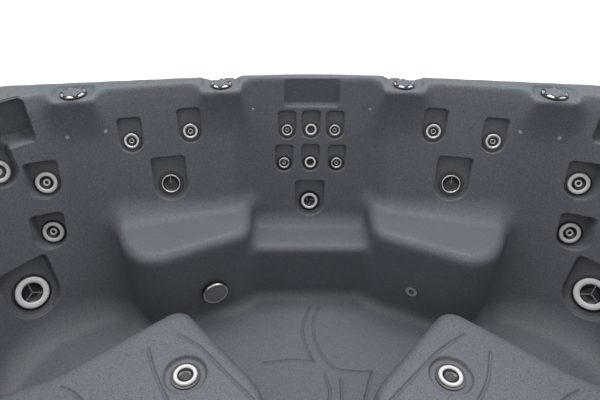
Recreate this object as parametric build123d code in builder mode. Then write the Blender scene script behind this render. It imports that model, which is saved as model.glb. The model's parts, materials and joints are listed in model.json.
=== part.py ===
from build123d import *
import math
import os

# Overall sizes of the tub, in millimetres. The origin is on the ground under the middle,
# +X to the right and +Y to the back as seen from the front, +Z up.
overall_width = 2400.0
overall_length = 2360.0
overall_height = 870.0
side_bow_radius = 2600.0
outer_corner_radius = 110.0
overrun = 20.0
running_gap = 0.1
seat_gap = 0.3

# Moulded shell
shell_wall = 7.0
lip_drop = 55.0
lip_wall = 8.0
shoulder_depth = 42.0
floor_height = 123.0
centre_seat_depth = 513.0
mid_seat_depth = 415.0
lobe_depth = 490.0
front_seat_depth = 560.0
cooling_seat_depth = 415.0
nose_radius = 38.0
nose_corner_radius = 100.0
inner_corner_radius = 45.0
lobe_apex_radius = 75.0
rim_corner_radius = 190.0
foot_corner_radius = 330.0
half_width = overall_width / 2
half_length = overall_length / 2
floor_depth = overall_height - floor_height

# Right half of the basin, from the middle of the back round to the middle of the front, as shares
# of the half width and the half length: at the rim, below its rounded shoulder, and at the floor
rim_line_shares = [
    (0.190, 0.974), (0.203, 0.967), (0.575, 0.926), (0.872, 0.872), (0.918, 0.475),
    (0.918, -0.475), (0.872, -0.872), (0.575, -0.926), (0.214, -0.960), (0.190, -0.810),
]
shoulder_line_shares = [
    (0.190, 0.966), (0.203, 0.946), (0.575, 0.886), (0.842, 0.826), (0.880, 0.470),
    (0.880, -0.470), (0.842, -0.826), (0.575, -0.886), (0.214, -0.925), (0.190, -0.800),
]
floor_line_shares = [
    (0.194, 0.814), (0.206, 0.751), (0.542, 0.688), (0.842, 0.644), (0.817, 0.339),
    (0.817, -0.339), (0.842, -0.644), (0.542, -0.688), (0.240, -0.740), (0.200, -0.690),
]
corner_numbers = (3, 6)
outer_corner_shares = (0.900, 0.915)

# Seat blocks in plan, as shares of the half width and the half length. The far points lie
# beyond the basin's wall, so that each block runs into it.
centre_seat_shares = [(-0.205, 1.1), (0.205, 1.1), (0.205, 0.737), (-0.205, 0.737)]
mid_seat_shares = [(0.184, 1.1), (0.600, 1.1), (0.552, 0.690), (0.430, 0.585), (0.184, 0.718)]
lobe_shares = [
    (0.098, -0.360), (0.098, 0.195), (0.125, 0.288), (0.333, 0.519), (0.583, 0.315),
    (1.100, 0.060), (1.100, -0.360),
]
front_seat_shares = [(0.098, -0.340), (1.1, -0.340), (1.1, -1.1), (0.098, -1.1)]
cooling_seat_shares = [(-0.190, -0.560), (0.190, -0.560), (0.190, -1.1), (-0.190, -1.1)]


def place(share_pair):
    """A plan point from its shares of the half width and the half length."""
    return (share_pair[0] * half_width, share_pair[1] * half_length)


def mirrored(points):
    """The same plan points on the other side of the middle, in the same turning order."""
    return [(-x, y) for x, y in reversed(points)]


def grown(points, growth):
    """Moves each side of a closed outline outwards by a growth, or inwards by a negative one."""
    count = len(points)
    area = sum(
        points[i - 1][0] * points[i][1] - points[i][0] * points[i - 1][1] for i in range(count)
    )
    turn = 1 if area > 0 else -1
    moved = []
    for i in range(count):
        before, here, after = points[i - 1], points[i], points[(i + 1) % count]
        first = Vector(here[0] - before[0], here[1] - before[1]).normalized()
        second = Vector(after[0] - here[0], after[1] - here[1]).normalized()
        out_first = Vector(first.Y, -first.X) * turn
        out_second = Vector(second.Y, -second.X) * turn
        both = out_first + out_second
        reach = growth * 2 / (both.dot(both))
        moved.append((here[0] + both.X * reach, here[1] + both.Y * reach))
    return moved


def rounded_outline(points, corners):
    """Sketch of a closed outline whose numbered corners are rounded, from pairs of number and radius."""
    with BuildSketch() as plan:
        with BuildLine():
            Polyline(*points, close=True)
        make_face()
        for number, radius in corners:
            corner = Vector(*points[number])
            fillet(plan.vertices().sort_by_distance(corner)[0], radius=radius)
    return plan.sketch


def outline_points():
    """Corners of the bowed square before its rounding, from the middle of the back clockwise."""
    corner_x, corner_y = place(outer_corner_shares)
    back_y = half_length
    side_x = half_width
    # Each side's middle point stands out so far that its round just reaches the overall size
    for _ in range(20):
        back_turn = math.atan((back_y - corner_y) / corner_x)
        back_y = half_length + side_bow_radius * (1 / math.cos(back_turn) - 1)
        side_turn = math.atan((side_x - corner_x) / corner_y)
        side_x = half_width + side_bow_radius * (1 / math.cos(side_turn) - 1)
    return [
        (0, back_y), (corner_x, corner_y), (side_x, 0), (corner_x, -corner_y),
        (0, -back_y), (-corner_x, -corner_y), (-side_x, 0), (-corner_x, corner_y),
    ]


def outer_outline(inset):
    """Sketch of the bowed square with rounded corners, drawn in by an inset."""
    bows = [(n, side_bow_radius - inset) for n in (0, 2, 4, 6)]
    corners = [(n, outer_corner_radius - inset) for n in (1, 3, 5, 7)]
    return rounded_outline(grown(outline_points(), -inset), bows + corners)


def back_side(inset, x):
    """How far out the straight part of the back or front side lies at a distance from the middle."""
    middle, corner = outline_points()[:2]
    slope = (middle[1] - corner[1]) / corner[0]
    return middle[1] - slope * abs(x) - inset * math.hypot(1, slope)


def basin_outline(shares, corner_radius, growth):
    """Sketch of the basin's outline at one level, grown outwards by a growth."""
    right_half = [place(pair) for pair in shares]
    points = right_half + mirrored(right_half)
    last = len(points) - 1
    numbers = list(corner_numbers) + [last - n for n in corner_numbers]
    return rounded_outline(grown(points, growth), [(n, corner_radius + growth) for n in numbers])


def seat_block(points, corners, depth, growth):
    """One raised block of the basin: plan points, rounded corners, depth of its top below the rim."""
    top = overall_height - depth - growth
    with BuildPart() as block:
        with BuildSketch(Plane.XY.offset(top)):
            add(rounded_outline(grown(points, -growth), corners))
        extrude(amount=-(top + overrun))
        fillet(block.faces().sort_by(Axis.Z)[-1].edges(), radius=nose_radius - growth)
    return block.part


def basin_tool(growth):
    """The space inside the shell, or with a growth of the wall the space inside its outer skin."""
    corner_step = foot_corner_radius - rim_corner_radius
    shoulder_radius = rim_corner_radius + corner_step * shoulder_depth / floor_depth
    rim = basin_outline(rim_line_shares, rim_corner_radius, growth)
    shoulder = basin_outline(shoulder_line_shares, shoulder_radius, growth)
    foot = basin_outline(floor_line_shares, foot_corner_radius, growth)
    with BuildPart() as tool:
        with BuildSketch(Plane.XY.offset(overall_height - shoulder_depth)):
            add(shoulder)
        with BuildSketch(Plane.XY.offset(overall_height)):
            add(rim)
        loft(ruled=True)
        with BuildSketch(Plane.XY.offset(floor_height - growth)):
            add(foot)
        with BuildSketch(Plane.XY.offset(overall_height - shoulder_depth)):
            add(shoulder)
        loft(ruled=True)
        round_corner = nose_corner_radius - growth
        tight_corner = inner_corner_radius - growth
        apex = lobe_apex_radius - growth
        right_mid = [place(pair) for pair in mid_seat_shares]
        right_lobe = [place(pair) for pair in lobe_shares]
        right_front = [place(pair) for pair in front_seat_shares]
        add(
            seat_block([place(p) for p in centre_seat_shares], [], centre_seat_depth, growth),
            mode=Mode.SUBTRACT,
        )
        add(
            seat_block([place(p) for p in cooling_seat_shares], [], cooling_seat_depth, growth),
            mode=Mode.SUBTRACT,
        )
        for side in (False, True):
            mid = mirrored(right_mid) if side else right_mid
            mid_rounds = [(len(mid) - 1 - n if side else n, r) for n, r in
                          ((3, round_corner), (4, tight_corner), (2, round_corner))]
            add(seat_block(mid, mid_rounds, mid_seat_depth, growth), mode=Mode.SUBTRACT)
            lobe = mirrored(right_lobe) if side else right_lobe
            lobe_rounds = [(len(lobe) - 1 - n if side else n, r) for n, r in
                           ((3, apex), (2, apex), (1, apex))]
            add(seat_block(lobe, lobe_rounds, lobe_depth, growth), mode=Mode.SUBTRACT)
            front = mirrored(right_front) if side else right_front
            add(seat_block(front, [], front_seat_depth, growth), mode=Mode.SUBTRACT)
    return tool.part


# Wall panels of the basin: the numbers of their two edges in the outlines above
centre_panel = "centre"
mid_panel = (1, 2)
corner_panel = (2, 3)

# Jets: sizes of each kind
jet_kinds = {
    "small": dict(cover=26.0, ring=19.5, face=13.0, nozzle=6.0, bore=15.0, barrel=18.0, depth=24.0,
                  tail=7.0, tail_bore=4.0, tail_length=8.0, pocket=54.0, top=62.0, back=14.0),
    "medium": dict(cover=38.0, ring=29.5, face=20.0, nozzle=9.0, bore=24.0, barrel=28.0, depth=40.0,
                   tail=11.0, tail_bore=8.0, tail_length=16.0, pocket=95.0, top=78.0, back=20.0),
    "upper": dict(cover=31.0, ring=25.5, face=16.0, nozzle=7.0, bore=19.0, barrel=23.0, depth=34.0,
                  tail=9.0, tail_bore=6.0, tail_length=10.0, pocket=68.0, top=72.0, back=16.0),
    "broad": dict(cover=42.0, ring=32.0, face=26.0, nozzle=10.0, bore=28.0, barrel=32.0, depth=48.0,
                  tail=12.0, tail_bore=9.0, tail_length=10.0, pocket=104.0, top=92.0, back=22.0),
    "corner": dict(cover=41.0, ring=35.0, face=22.0, nozzle=9.0, bore=26.0, barrel=30.0, depth=44.0,
                   tail=11.0, tail_bore=8.0, tail_length=14.0, pocket=88.0, top=70.0, back=18.0),
    "heavy": dict(cover=62.0, ring=54.0, face=34.0, nozzle=14.0, bore=44.0, barrel=49.0, depth=60.0,
                  tail=16.0, tail_bore=12.0, tail_length=18.0, pocket=160.0, top=106.0, back=26.0),
    "lobe": dict(cover=40.0, ring=32.5, face=21.5, nozzle=9.0, bore=25.0, barrel=29.0, depth=42.0,
                 tail=11.0, tail_bore=8.0, tail_length=16.0, pocket=108.0, top=0.0, back=12.0),
}
pocket_tilt = 5.0
pocket_reach = 34.0
cover_thickness = 4.0
ring_height = 7.0
ring_round = 2.5
body_floor = 3.0
insert_lift = 0.4

# Where the jets sit. On a flat panel: share across the half width, and depth below the rim.
small_sites = [(-0.0677, 178.0), (0.0, 176.0), (0.0677, 178.0),
               (-0.0763, 292.0), (0.0, 290.0), (0.0763, 292.0)]
medium_site = (0.0, 434.0)
upper_sites = [(0.334, 152.0), (0.492, 168.0)]
broad_site = (0.396, 319.0)
corner_sites = [(0.724, 275.0), (0.727, 442.0)]
# In a rounded corner: shares of the half width and half length, depth, azimuth and lean in degrees
round_corner_site = (0.8175, 0.7585, 205.0, 44.5, 20.0)
heavy_site = (0.7717, 0.6271, 592.0, 44.0, 21.0)
lobe_site = (0.294, 0.313)

# Point lights
lens_radius = 8.0
lens_stem = 5.5
lens_dome = 3.0
lens_stand = 0.9
lens_taper = 40.0
lens_length = 16.0
lens_centre_site = (0.165, 106.0)
lens_mid_sites = [(0.254, 116.0), (0.556, 130.0)]
lens_corner_site = (0.653, 137.0)

# Headrest recesses
recess_half_width = 88.0
recess_top = 8.0
recess_bottom = 93.0
recess_back_depth = 24.0
corner_recess_bottom = 128.0
corner_recess_share = (0.8042, 0.8008)
corner_recess_azimuth = 32.0
corner_recess_back = 42.0

# Rim knobs, each on a pad in a notch of the rim
pad_drop = 15.0
pad_half_width = 67.0
pad_reach = 50.0
pad_edge = 12.0
pad_underside = 230.0
pad_outward = 90.0
notch_gap = 3.0
notch_rear_wall = 5.0
knob_shares = [(0.246, 0.9475), (0.627, 0.890)]
knob_azimuth = 6.7
knob_radii = (34.0, 41.0)
knob_height = 9.0
knob_cap_radius = 27.0
knob_seat_radius = 30.0
knob_seat_height = 2.0
knob_spindle = 8.0
knob_spindle_height = 8.0
knob_barrel = 14.0
knob_barrel_length = 26.0
knob_cap_rise = 3.0
knob_cap_round = 2.0
knob_taper = 6.0
knob_hole_gap = 0.5

# Riser fittings
suction_share = 0.627
suction_rise = 123.0
suction_depth = floor_depth - suction_rise
suction_radius = 46.0
suction_rim_height = 10.0
suction_dome_height = 18.0
suction_wall = 4.0
suction_taper = 30.0
suction_slots = 10
suction_slot_ring = 20.0
suction_slot_length = 16.0
suction_slot_width = 4.0
suction_nut_radius = 34.0
fitting_flange = 5.0
suction_barrel = 24.0
fitting_length = 60.0
eye_share = 0.578
eye_rise = 132.0
eye_depth = floor_depth - eye_rise
eye_radius = 20.0
eye_barrel = 14.0
eye_bore = 10.0
eye_nut_radius = 22.0
fitting_nut = 8.0


def mix(first, second, share):
    """A value between two others."""
    return first + (second - first) * share


def wall_site(panel, x_share, depth, side=1):
    """Plane on a flat wall panel, facing into the tub, on the right (side 1) or the left (side -1)."""
    if panel == centre_panel:
        first, second = rim_edge(0, -1), rim_edge(0, 1)
    else:
        first, second = rim_edge(panel[0], 1), rim_edge(panel[1], 1)
    down = (depth - shoulder_depth) / (floor_depth - shoulder_depth)
    height = overall_height - depth
    left = Vector(mix(first[0].X, first[1].X, down), mix(first[0].Y, first[1].Y, down), height)
    right = Vector(mix(second[0].X, second[1].X, down), mix(second[0].Y, second[1].Y, down), height)
    across_share = (x_share * half_width - left.X) / (right.X - left.X)
    point = left + (right - left) * across_share
    fall_first = first[1] - first[0]
    fall_second = second[1] - second[0]
    fall = fall_first + (fall_second - fall_first) * across_share
    normal = fall.cross(right - left).normalized()
    return facing((point.X * side, point.Y, point.Z), (normal.X * side, normal.Y, normal.Z))


def rim_edge(number, side):
    """The upper and lower ends of one crease between the wall panels."""
    top = place(shoulder_line_shares[number])
    foot = place(floor_line_shares[number])
    return (
        Vector(top[0] * side, top[1], overall_height - shoulder_depth),
        Vector(foot[0] * side, foot[1], floor_height),
    )


def facing(point, normal):
    """Plane at a point, facing along a normal, with its own Y axis pointing up the wall."""
    out = Vector(*normal)
    return Plane(origin=point, x_dir=Vector(0, 0, 1).cross(out), z_dir=out)


def angled(point, azimuth, lean, side=1):
    """Plane at a point whose normal turns by an azimuth from the front and leans up."""
    level = math.cos(math.radians(lean))
    normal = (
        -math.sin(math.radians(azimuth)) * level * side,
        -math.cos(math.radians(azimuth)) * level,
        math.sin(math.radians(lean)),
    )
    return facing(point, normal)


def pocket_plane(site, back):
    """The floor of a pocket: set back from the wall and tilted so that its top is the deeper end."""
    flat = Vector(site.z_dir.X, site.z_dir.Y, 0).normalized()
    lean = math.asin(site.z_dir.Z) + math.radians(pocket_tilt)
    normal = flat * math.cos(lean) + Vector(0, 0, 1) * math.sin(lean)
    return facing(site.origin - site.z_dir * back, normal)


def pocket_solid(floor, kind, growth):
    """A pocket with a flat top and a round foot, cut forwards from its floor."""
    half = kind["pocket"] / 2 + growth
    top = kind["top"] + growth
    with BuildPart() as pocket:
        with BuildSketch(floor.offset(-growth)):
            Circle(half)
            if kind["top"] > 0:
                with Locations((0, top / 2)):
                    Rectangle(2 * half, top)
        extrude(amount=kind["back"] + growth + pocket_reach)
    return pocket.part


def jet_body(floor, kind):
    """Black wall fitting of a jet: cover ring on the pocket floor, barrel and tail behind it."""
    with BuildPart() as body:
        with BuildSketch(Plane(origin=floor.origin, x_dir=floor.x_dir, z_dir=-floor.y_dir)):
            with BuildLine():
                Polyline(
                    (kind["tail_bore"], -kind["depth"] - kind["tail_length"]),
                    (kind["tail"], -kind["depth"] - kind["tail_length"]),
                    (kind["tail"], -kind["depth"]),
                    (kind["barrel"], -kind["depth"]),
                    (kind["barrel"], 0),
                    (kind["cover"], 0),
                    (kind["cover"], cover_thickness),
                    (kind["bore"], cover_thickness),
                    (kind["bore"], -kind["depth"] + body_floor),
                    (kind["tail_bore"], -kind["depth"] + body_floor),
                    close=True,
                )
            make_face()
        revolve(axis=Axis(floor.origin, floor.z_dir))
    return body.part


def jet_insert(floor, kind):
    """Turning nozzle of a jet: a stem in the barrel under a raised ring."""
    stem = kind["bore"] - running_gap
    low = cover_thickness + insert_lift
    high = cover_thickness + ring_height
    with BuildPart() as insert:
        with BuildSketch(Plane(origin=floor.origin, x_dir=floor.x_dir, z_dir=-floor.y_dir)):
            with BuildLine():
                Polyline(
                    (kind["nozzle"], -kind["depth"] + body_floor + insert_lift),
                    (stem, -kind["depth"] + body_floor + insert_lift),
                    (stem, low),
                    (kind["ring"], low),
                    (kind["ring"], high - ring_round),
                    (kind["ring"] - ring_round, high),
                    (kind["face"] + ring_round, high),
                    (kind["face"], high - ring_round),
                    (kind["face"], low - ring_round),
                    (kind["nozzle"], low - ring_round),
                    close=True,
                )
            make_face()
        revolve(axis=Axis(floor.origin, floor.z_dir))
    return insert.part


sides = {"right": 1, "left": -1}
fixed_floors = []
turning_floors = []
for x_share, depth in small_sites:
    fixed_floors.append(
        (pocket_plane(wall_site(centre_panel, x_share, depth), jet_kinds["small"]["back"]), "small")
    )
turning_floors.append((
    "centre_jet", "medium",
    pocket_plane(wall_site(centre_panel, *medium_site), jet_kinds["medium"]["back"]),
))
for side_name, side in sides.items():
    for word, site in zip(("inner", "outer"), upper_sites):
        plane = pocket_plane(wall_site(mid_panel, *site, side), jet_kinds["upper"]["back"])
        turning_floors.append((f"{side_name}_{word}_upper_jet", "upper", plane))
    plane = pocket_plane(wall_site(mid_panel, *broad_site, side), jet_kinds["broad"]["back"])
    turning_floors.append((f"{side_name}_broad_jet", "broad", plane))
    for word, site in zip(("shoulder", "back"), corner_sites):
        plane = pocket_plane(wall_site(corner_panel, *site, side), jet_kinds["corner"]["back"])
        turning_floors.append((f"{side_name}_{word}_jet", "corner", plane))
    for word, kind_name, site in (
        ("corner", "corner", round_corner_site), ("heavy", "heavy", heavy_site),
    ):
        point = place(site[:2])
        wall_plane = angled((point[0] * side, point[1], overall_height - site[2]), *site[3:], side)
        plane = pocket_plane(wall_plane, jet_kinds[kind_name]["back"])
        turning_floors.append((f"{side_name}_{word}_jet", kind_name, plane))
    point = place(lobe_site)
    lobe_plane = Plane(
        origin=(point[0] * side, point[1], overall_height - lobe_depth - jet_kinds["lobe"]["back"])
    )
    turning_floors.append((f"{side_name}_lobe_jet", "lobe", lobe_plane))
all_floors = fixed_floors + [(plane, kind_name) for _, kind_name, plane in turning_floors]

lens_planes = []
knob_planes = []
for side in sides.values():
    lens_planes.append(wall_site(centre_panel, lens_centre_site[0] * side, lens_centre_site[1]))
    lens_planes += [wall_site(mid_panel, *site, side) for site in lens_mid_sites]
    lens_planes.append(wall_site(corner_panel, *lens_corner_site, side))
    for pair in knob_shares:
        point = place(pair)
        turn = math.radians(knob_azimuth)
        knob_planes.append(
            Plane(
                origin=(point[0] * side, point[1], overall_height - pad_drop),
                x_dir=(math.cos(turn), -math.sin(turn) * side, 0),
                z_dir=(0, 0, 1),
            )
        )


def knob_pad(plane, growth):
    """The pad that carries a rim knob: flat on top, sloping back to the wall below."""
    with BuildPart() as pad:
        side_plane = Plane(
            origin=plane.origin - plane.x_dir * (pad_half_width - growth),
            x_dir=plane.y_dir, z_dir=plane.x_dir,
        )
        with BuildSketch(side_plane):
            with BuildLine():
                Polyline(
                    (pad_outward, -growth), (growth - pad_reach, -growth),
                    (growth - pad_reach, growth / 2 - pad_edge),
                    (pad_outward, growth - pad_edge - pad_underside - pad_outward),
                    close=True,
                )
            make_face()
        extrude(amount=2 * (pad_half_width - growth))
    return pad.part


def knob_notch(plane, radius, side_wall, rear_wall, low, high):
    """The notch of the rim round a knob, from one height to another above its pad."""
    front_edge = -pad_reach
    rear_edge = radius + notch_gap + rear_wall
    with BuildPart() as notch:
        with BuildSketch(plane.offset(low)):
            with Locations((0, (front_edge + rear_edge) / 2)):
                Rectangle(2 * (pad_half_width + side_wall), rear_edge - front_edge)
        extrude(amount=high - low)
    return notch.part


def riser_plane(share, depth, side):
    """Plane on the front of a mid seat's riser, facing the footwell."""
    near = Vector(*place(mid_seat_shares[3]))
    far = Vector(*place(mid_seat_shares[4]))
    point = near + (far - near) * share
    along = (far - near).normalized()
    normal = Vector(-along.Y * side, along.X, 0)
    return facing((point.X * side, point.Y, overall_height - depth), (normal.X, normal.Y, 0))


suction_plane = riser_plane(suction_share, suction_depth, -1)
eye_plane = riser_plane(eye_share, eye_depth, 1)


def recess_solid(plan_point, azimuth, bottom, back, growth, side=1):
    """An empty headrest recess: an upright back with a ledge below."""
    point = place(plan_point)
    turn = math.radians(azimuth)
    height = bottom - recess_top + 2 * growth
    plane = Plane(
        origin=(point[0] * side, point[1], overall_height - bottom - growth),
        x_dir=(math.cos(turn), -math.sin(turn) * side, 0),
        z_dir=(0, 0, 1),
    )
    with BuildPart() as recess:
        with BuildSketch(plane):
            with Locations((0, (back + growth) / 2)):
                Rectangle(2 * (recess_half_width + growth), back + growth)
        extrude(amount=height)
    return recess.part


recess_sites = [((0.0, 0.954), 0.0, recess_bottom, recess_back_depth, 1)]
for side in sides.values():
    recess_sites.append(
        (corner_recess_share, corner_recess_azimuth, corner_recess_bottom, corner_recess_back, side)
    )


def pads_added(tool_part, growth):
    """The basin tool with the knob pads taken out of it and the recesses added."""
    with BuildPart() as tool:
        add(tool_part)
        for plane in knob_planes:
            add(knob_pad(plane, growth), mode=Mode.SUBTRACT)
        for plan_point, azimuth, bottom, back, side in recess_sites:
            add(recess_solid(plan_point, azimuth, bottom, back, growth, side))
    return tool.part


inner_tool = pads_added(basin_tool(0), 0)
outer_tool = pads_added(basin_tool(shell_wall), shell_wall)

# Skimmer and filter under the front deck
deck_spread = 110.0
deck_front_gap = 135.0
filter_centre = (-deck_spread, deck_front_gap - half_length)
filter_opening = 142.0
filter_ledge = 4.0
filter_wall = 4.0
filter_depth = 520.0
lid_gap = 0.5
lid_thickness = 6.0
lid_notch = 14.0
mouth_width = 120.0
mouth_height = 120.0
mouth_top = 70.0
throat_share = 1.5
cartridge_radius = 52.0
cartridge_core = 20.0
cartridge_length = 200.0
cartridge_cap = 12.0
cartridge_socket = 14.0
weir_thickness = 6.0
weir_side_gap = 2.0
weir_barrel = 5.0
weir_pin = 2.5
weir_socket = 3.0
weir_pin_length = weir_side_gap + weir_socket - lid_gap
weir_height = 100.0
weir_back = 8.0

# Control panel on the front deck
panel_centre = (deck_spread, deck_front_gap - half_length)
panel_width = 150.0
panel_depth = 80.0
panel_thickness = 8.0
panel_corner = 12.0
key_radius = 9.0
key_pitch = 30.0
key_offset = -18.0
key_rise = 2.0
key_travel = 1.5
key_hole_gap = 0.4
display_width = 70.0
display_height = 28.0
display_offset = 16.0
display_inset = 3.0

# Cabinet round the shell
pan_inset = 4.0
pan_wall = 5.0
pan_floor = 20.0
pan_height = 60.0
panel_inset = pan_inset + pan_wall + seat_gap
panel_wall = 5.0
panel_joint = 0.5
corner_share = 0.8
door_half_width = 520.0
screw_head = 9.0
screw_head_height = 3.0
screw_shank = 4.0
screw_reach = 10.0
screw_margin = 40.0

# Frame behind the panels
frame_inset = 22.0
frame_width = 30.0
frame_rail = 40.0
top_rail_drop = 370.0
top_rail_height = overall_height - top_rail_drop
top_rail = 30.0
post_width = 45.0
post_front_share = 0.49
post_side_share = 0.36
post_corner_share = 1.1

# Water and air lines
pipe_radius = 20.0
pipe_wall = 2.0
pipe_bend = 60.0
run_height = 68.0
pump_x = -392.0
bay_front_gap = 435.0
pump_y = bay_front_gap - half_length
pump_height = 150.0
pump_radius = 95.0
pump_width = 70.0
pump_wall = 6.0
pump_port = 30.0
outlet_height = 215.0
motor_radius = 78.0
motor_length = 270.0
motor_gap = 0.5
motor_foot = 60.0
rotor_radius = 70.0
rotor_width = 24.0
shaft_radius = 9.0
shaft_reach = 60.0
heater_radius = 32.0
heater_half_length = 200.0
heater_wall = 3.0
header_inset = 80.0
header_height = 255.0
header_radius = 24.0
header_side_gap = 500.0
header_left_x = header_side_gap - half_width
feed_side_gap = 350.0
feed_x = half_width - feed_side_gap
stub_drop = 55.0
air_inset = 70.0
air_height = 480.0
air_radius = 14.0
blower_centre = (feed_side_gap - half_width, bay_front_gap - half_length)
blower_radius = 75.0
blower_height = 170.0
blower_port = 20.0
control_box_size = (260.0, 180.0, 200.0)
control_box_side_gap = 590.0
control_box_front_gap = 250.0
control_box_centre = (half_width - control_box_side_gap, control_box_front_gap - half_length)
ozone_size = (80.0, 100.0, 150.0)
ozone_side_gap = 600.0
ozone_front_gap = 230.0
ozone_centre = (ozone_side_gap - half_width, ozone_front_gap - half_length)
drain_x = header_side_gap - half_width
drain_height = 110.0
drain_flange = 28.0
drain_flange_height = 5.0
drain_barrel = 15.0
drain_bore = 9.0
drain_length = 70.0
drain_cap_radius = 22.0
drain_cap_height = 18.0
drain_stub = 17.0
drain_grips = 8
drain_grip = 3.0
heater_low_x = -180.0
heater_stub = 20.0
header_overhang = 45.0
rise_start_share = 0.25
rise_end_share = 0.40
box_round = 10.0


def upright_plane(point):
    """Level plane at a plan point and height."""
    return Plane(origin=point, z_dir=(0, 0, 1))


def rod(points, radius, bend):
    """A round rod of straight runs joined by round bends."""
    with BuildPart() as solid:
        with BuildLine() as route:
            if len(points) > 2:
                FilletPolyline(*points, radius=bend)
            else:
                Polyline(*points)
        start = Vector(*points[1]) - Vector(*points[0])
        with BuildSketch(Plane(origin=points[0], z_dir=start)):
            Circle(radius)
        sweep(path=route.line)
    return solid.part


def pipe(points, radius, wall, bend):
    """A pipe of straight runs joined by round bends."""
    outside = rod(points, radius, bend)
    inside = rod(points, radius - wall, bend)
    with BuildPart() as tube:
        add(outside)
        add(inside, mode=Mode.SUBTRACT)
    return tube.part


def outline_ring(outer_inset, inner_inset, low, high):
    """An upright band that follows the tub's outline between two insets and two heights."""
    with BuildPart() as band:
        with BuildSketch(Plane.XY.offset(low)):
            add(outer_outline(outer_inset))
            add(outer_outline(inner_inset), mode=Mode.SUBTRACT)
        extrude(amount=high - low)
    return band.part


def block(x_range, y_range, z_range):
    """A plain box from its lowest and highest coordinates."""
    with BuildPart() as solid:
        with BuildSketch(Plane.XY.offset(z_range[0])):
            with Locations((sum(x_range) / 2, sum(y_range) / 2)):
                Rectangle(x_range[1] - x_range[0], y_range[1] - y_range[0])
        extrude(amount=z_range[1] - z_range[0])
    return solid.part


def front_plane(x, height, inset):
    """Plane on the cabinet's front at one side of the middle, facing outwards."""
    step = post_width
    near = Vector(x, -back_side(inset, x), height)
    far = Vector(x + step, -back_side(inset, x + step), height)
    along = (far - near).normalized()
    return Plane(origin=near, x_dir=along, z_dir=along.cross(Vector(0, 0, 1)))


# Shell: rim, rolled lip, basin, pockets and the holes of every fitting
slab_bottom = overall_height - shell_wall
mouth_x = filter_centre[0]
mouth_back = filter_centre[1]


def plug(plane, radius, front, back):
    """A round plug along a plane's normal, from in front of the plane to behind it."""
    with BuildPart() as solid:
        with BuildSketch(plane.offset(-back)):
            Circle(radius)
        extrude(amount=front + back)
    return solid.part


knob_sites = list(zip(knob_planes, 2 * knob_radii))
pocket_walls = [pocket_solid(floor, jet_kinds[kind], shell_wall) for floor, kind in all_floors]
hollows = [pocket_solid(floor, jet_kinds[kind], 0) for floor, kind in all_floors]
for floor, kind in all_floors:
    hollows.append(plug(floor, jet_kinds[kind]["barrel"] + seat_gap, overrun, overrun))
hollows += [plug(plane, lens_stem + seat_gap, overrun, overrun) for plane in lens_planes]
hollows += [
    plug(plane, knob_barrel + knob_hole_gap, overrun, 2 * shell_wall) for plane in knob_planes
]
hollows.append(plug(suction_plane, suction_barrel + seat_gap, overrun, overrun))
hollows.append(plug(eye_plane, eye_barrel + seat_gap, overrun, overrun))
hollows += [knob_notch(plane, radius, 0, 0, 0, overrun) for plane, radius in knob_sites]
trays = [
    knob_notch(plane, radius, shell_wall, notch_rear_wall, -shell_wall, pad_drop)
    for plane, radius in knob_sites
]
half_opening = filter_opening / 2
mouth_x_range = (mouth_x - mouth_width / 2, mouth_x + mouth_width / 2)
mouth_z_range = (overall_height - mouth_top - mouth_height, overall_height - mouth_top)
hollows.append(
    block(
        (filter_centre[0] - half_opening, filter_centre[0] + half_opening),
        (filter_centre[1] - half_opening, filter_centre[1] + half_opening),
        (slab_bottom - overrun, overall_height + overrun),
    )
)
hollows.append(block(mouth_x_range, (mouth_back, -half_length / 2), mouth_z_range))
with BuildPart() as tub_shell:
    with BuildSketch(Plane.XY.offset(slab_bottom)):
        add(outer_outline(0))
    extrude(amount=shell_wall)
    add(outline_ring(0, lip_wall, overall_height - lip_drop, slab_bottom))
    add(outer_tool)
    add(pocket_walls)
    add(trays)
    add(inner_tool, mode=Mode.SUBTRACT)
    add(hollows, mode=Mode.SUBTRACT)
tub_shell.part.label = "tub_shell"

# Jets
with BuildPart() as jet_bodies:
    for floor, kind_name in all_floors:
        add(jet_body(floor, jet_kinds[kind_name]))
jet_bodies.part.label = "jet_bodies"
with BuildPart() as small_jet_nozzles:
    for floor, kind_name in fixed_floors:
        add(jet_insert(floor, jet_kinds[kind_name]))
small_jet_nozzles.part.label = "small_jet_nozzles"
jet_inserts = []
for name, kind_name, floor in turning_floors:
    insert = jet_insert(floor, jet_kinds[kind_name])
    insert.label = name
    jet_inserts.append(insert)

# Point lights
with BuildPart() as point_lights:
    for plane in lens_planes:
        with BuildSketch(plane.offset(lens_stand)):
            Circle(lens_radius)
        extrude(amount=lens_dome, taper=lens_taper)
        with BuildSketch(plane.offset(lens_stand)):
            Circle(lens_stem)
        extrude(amount=-lens_length)
point_lights.part.label = "point_lights"

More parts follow.
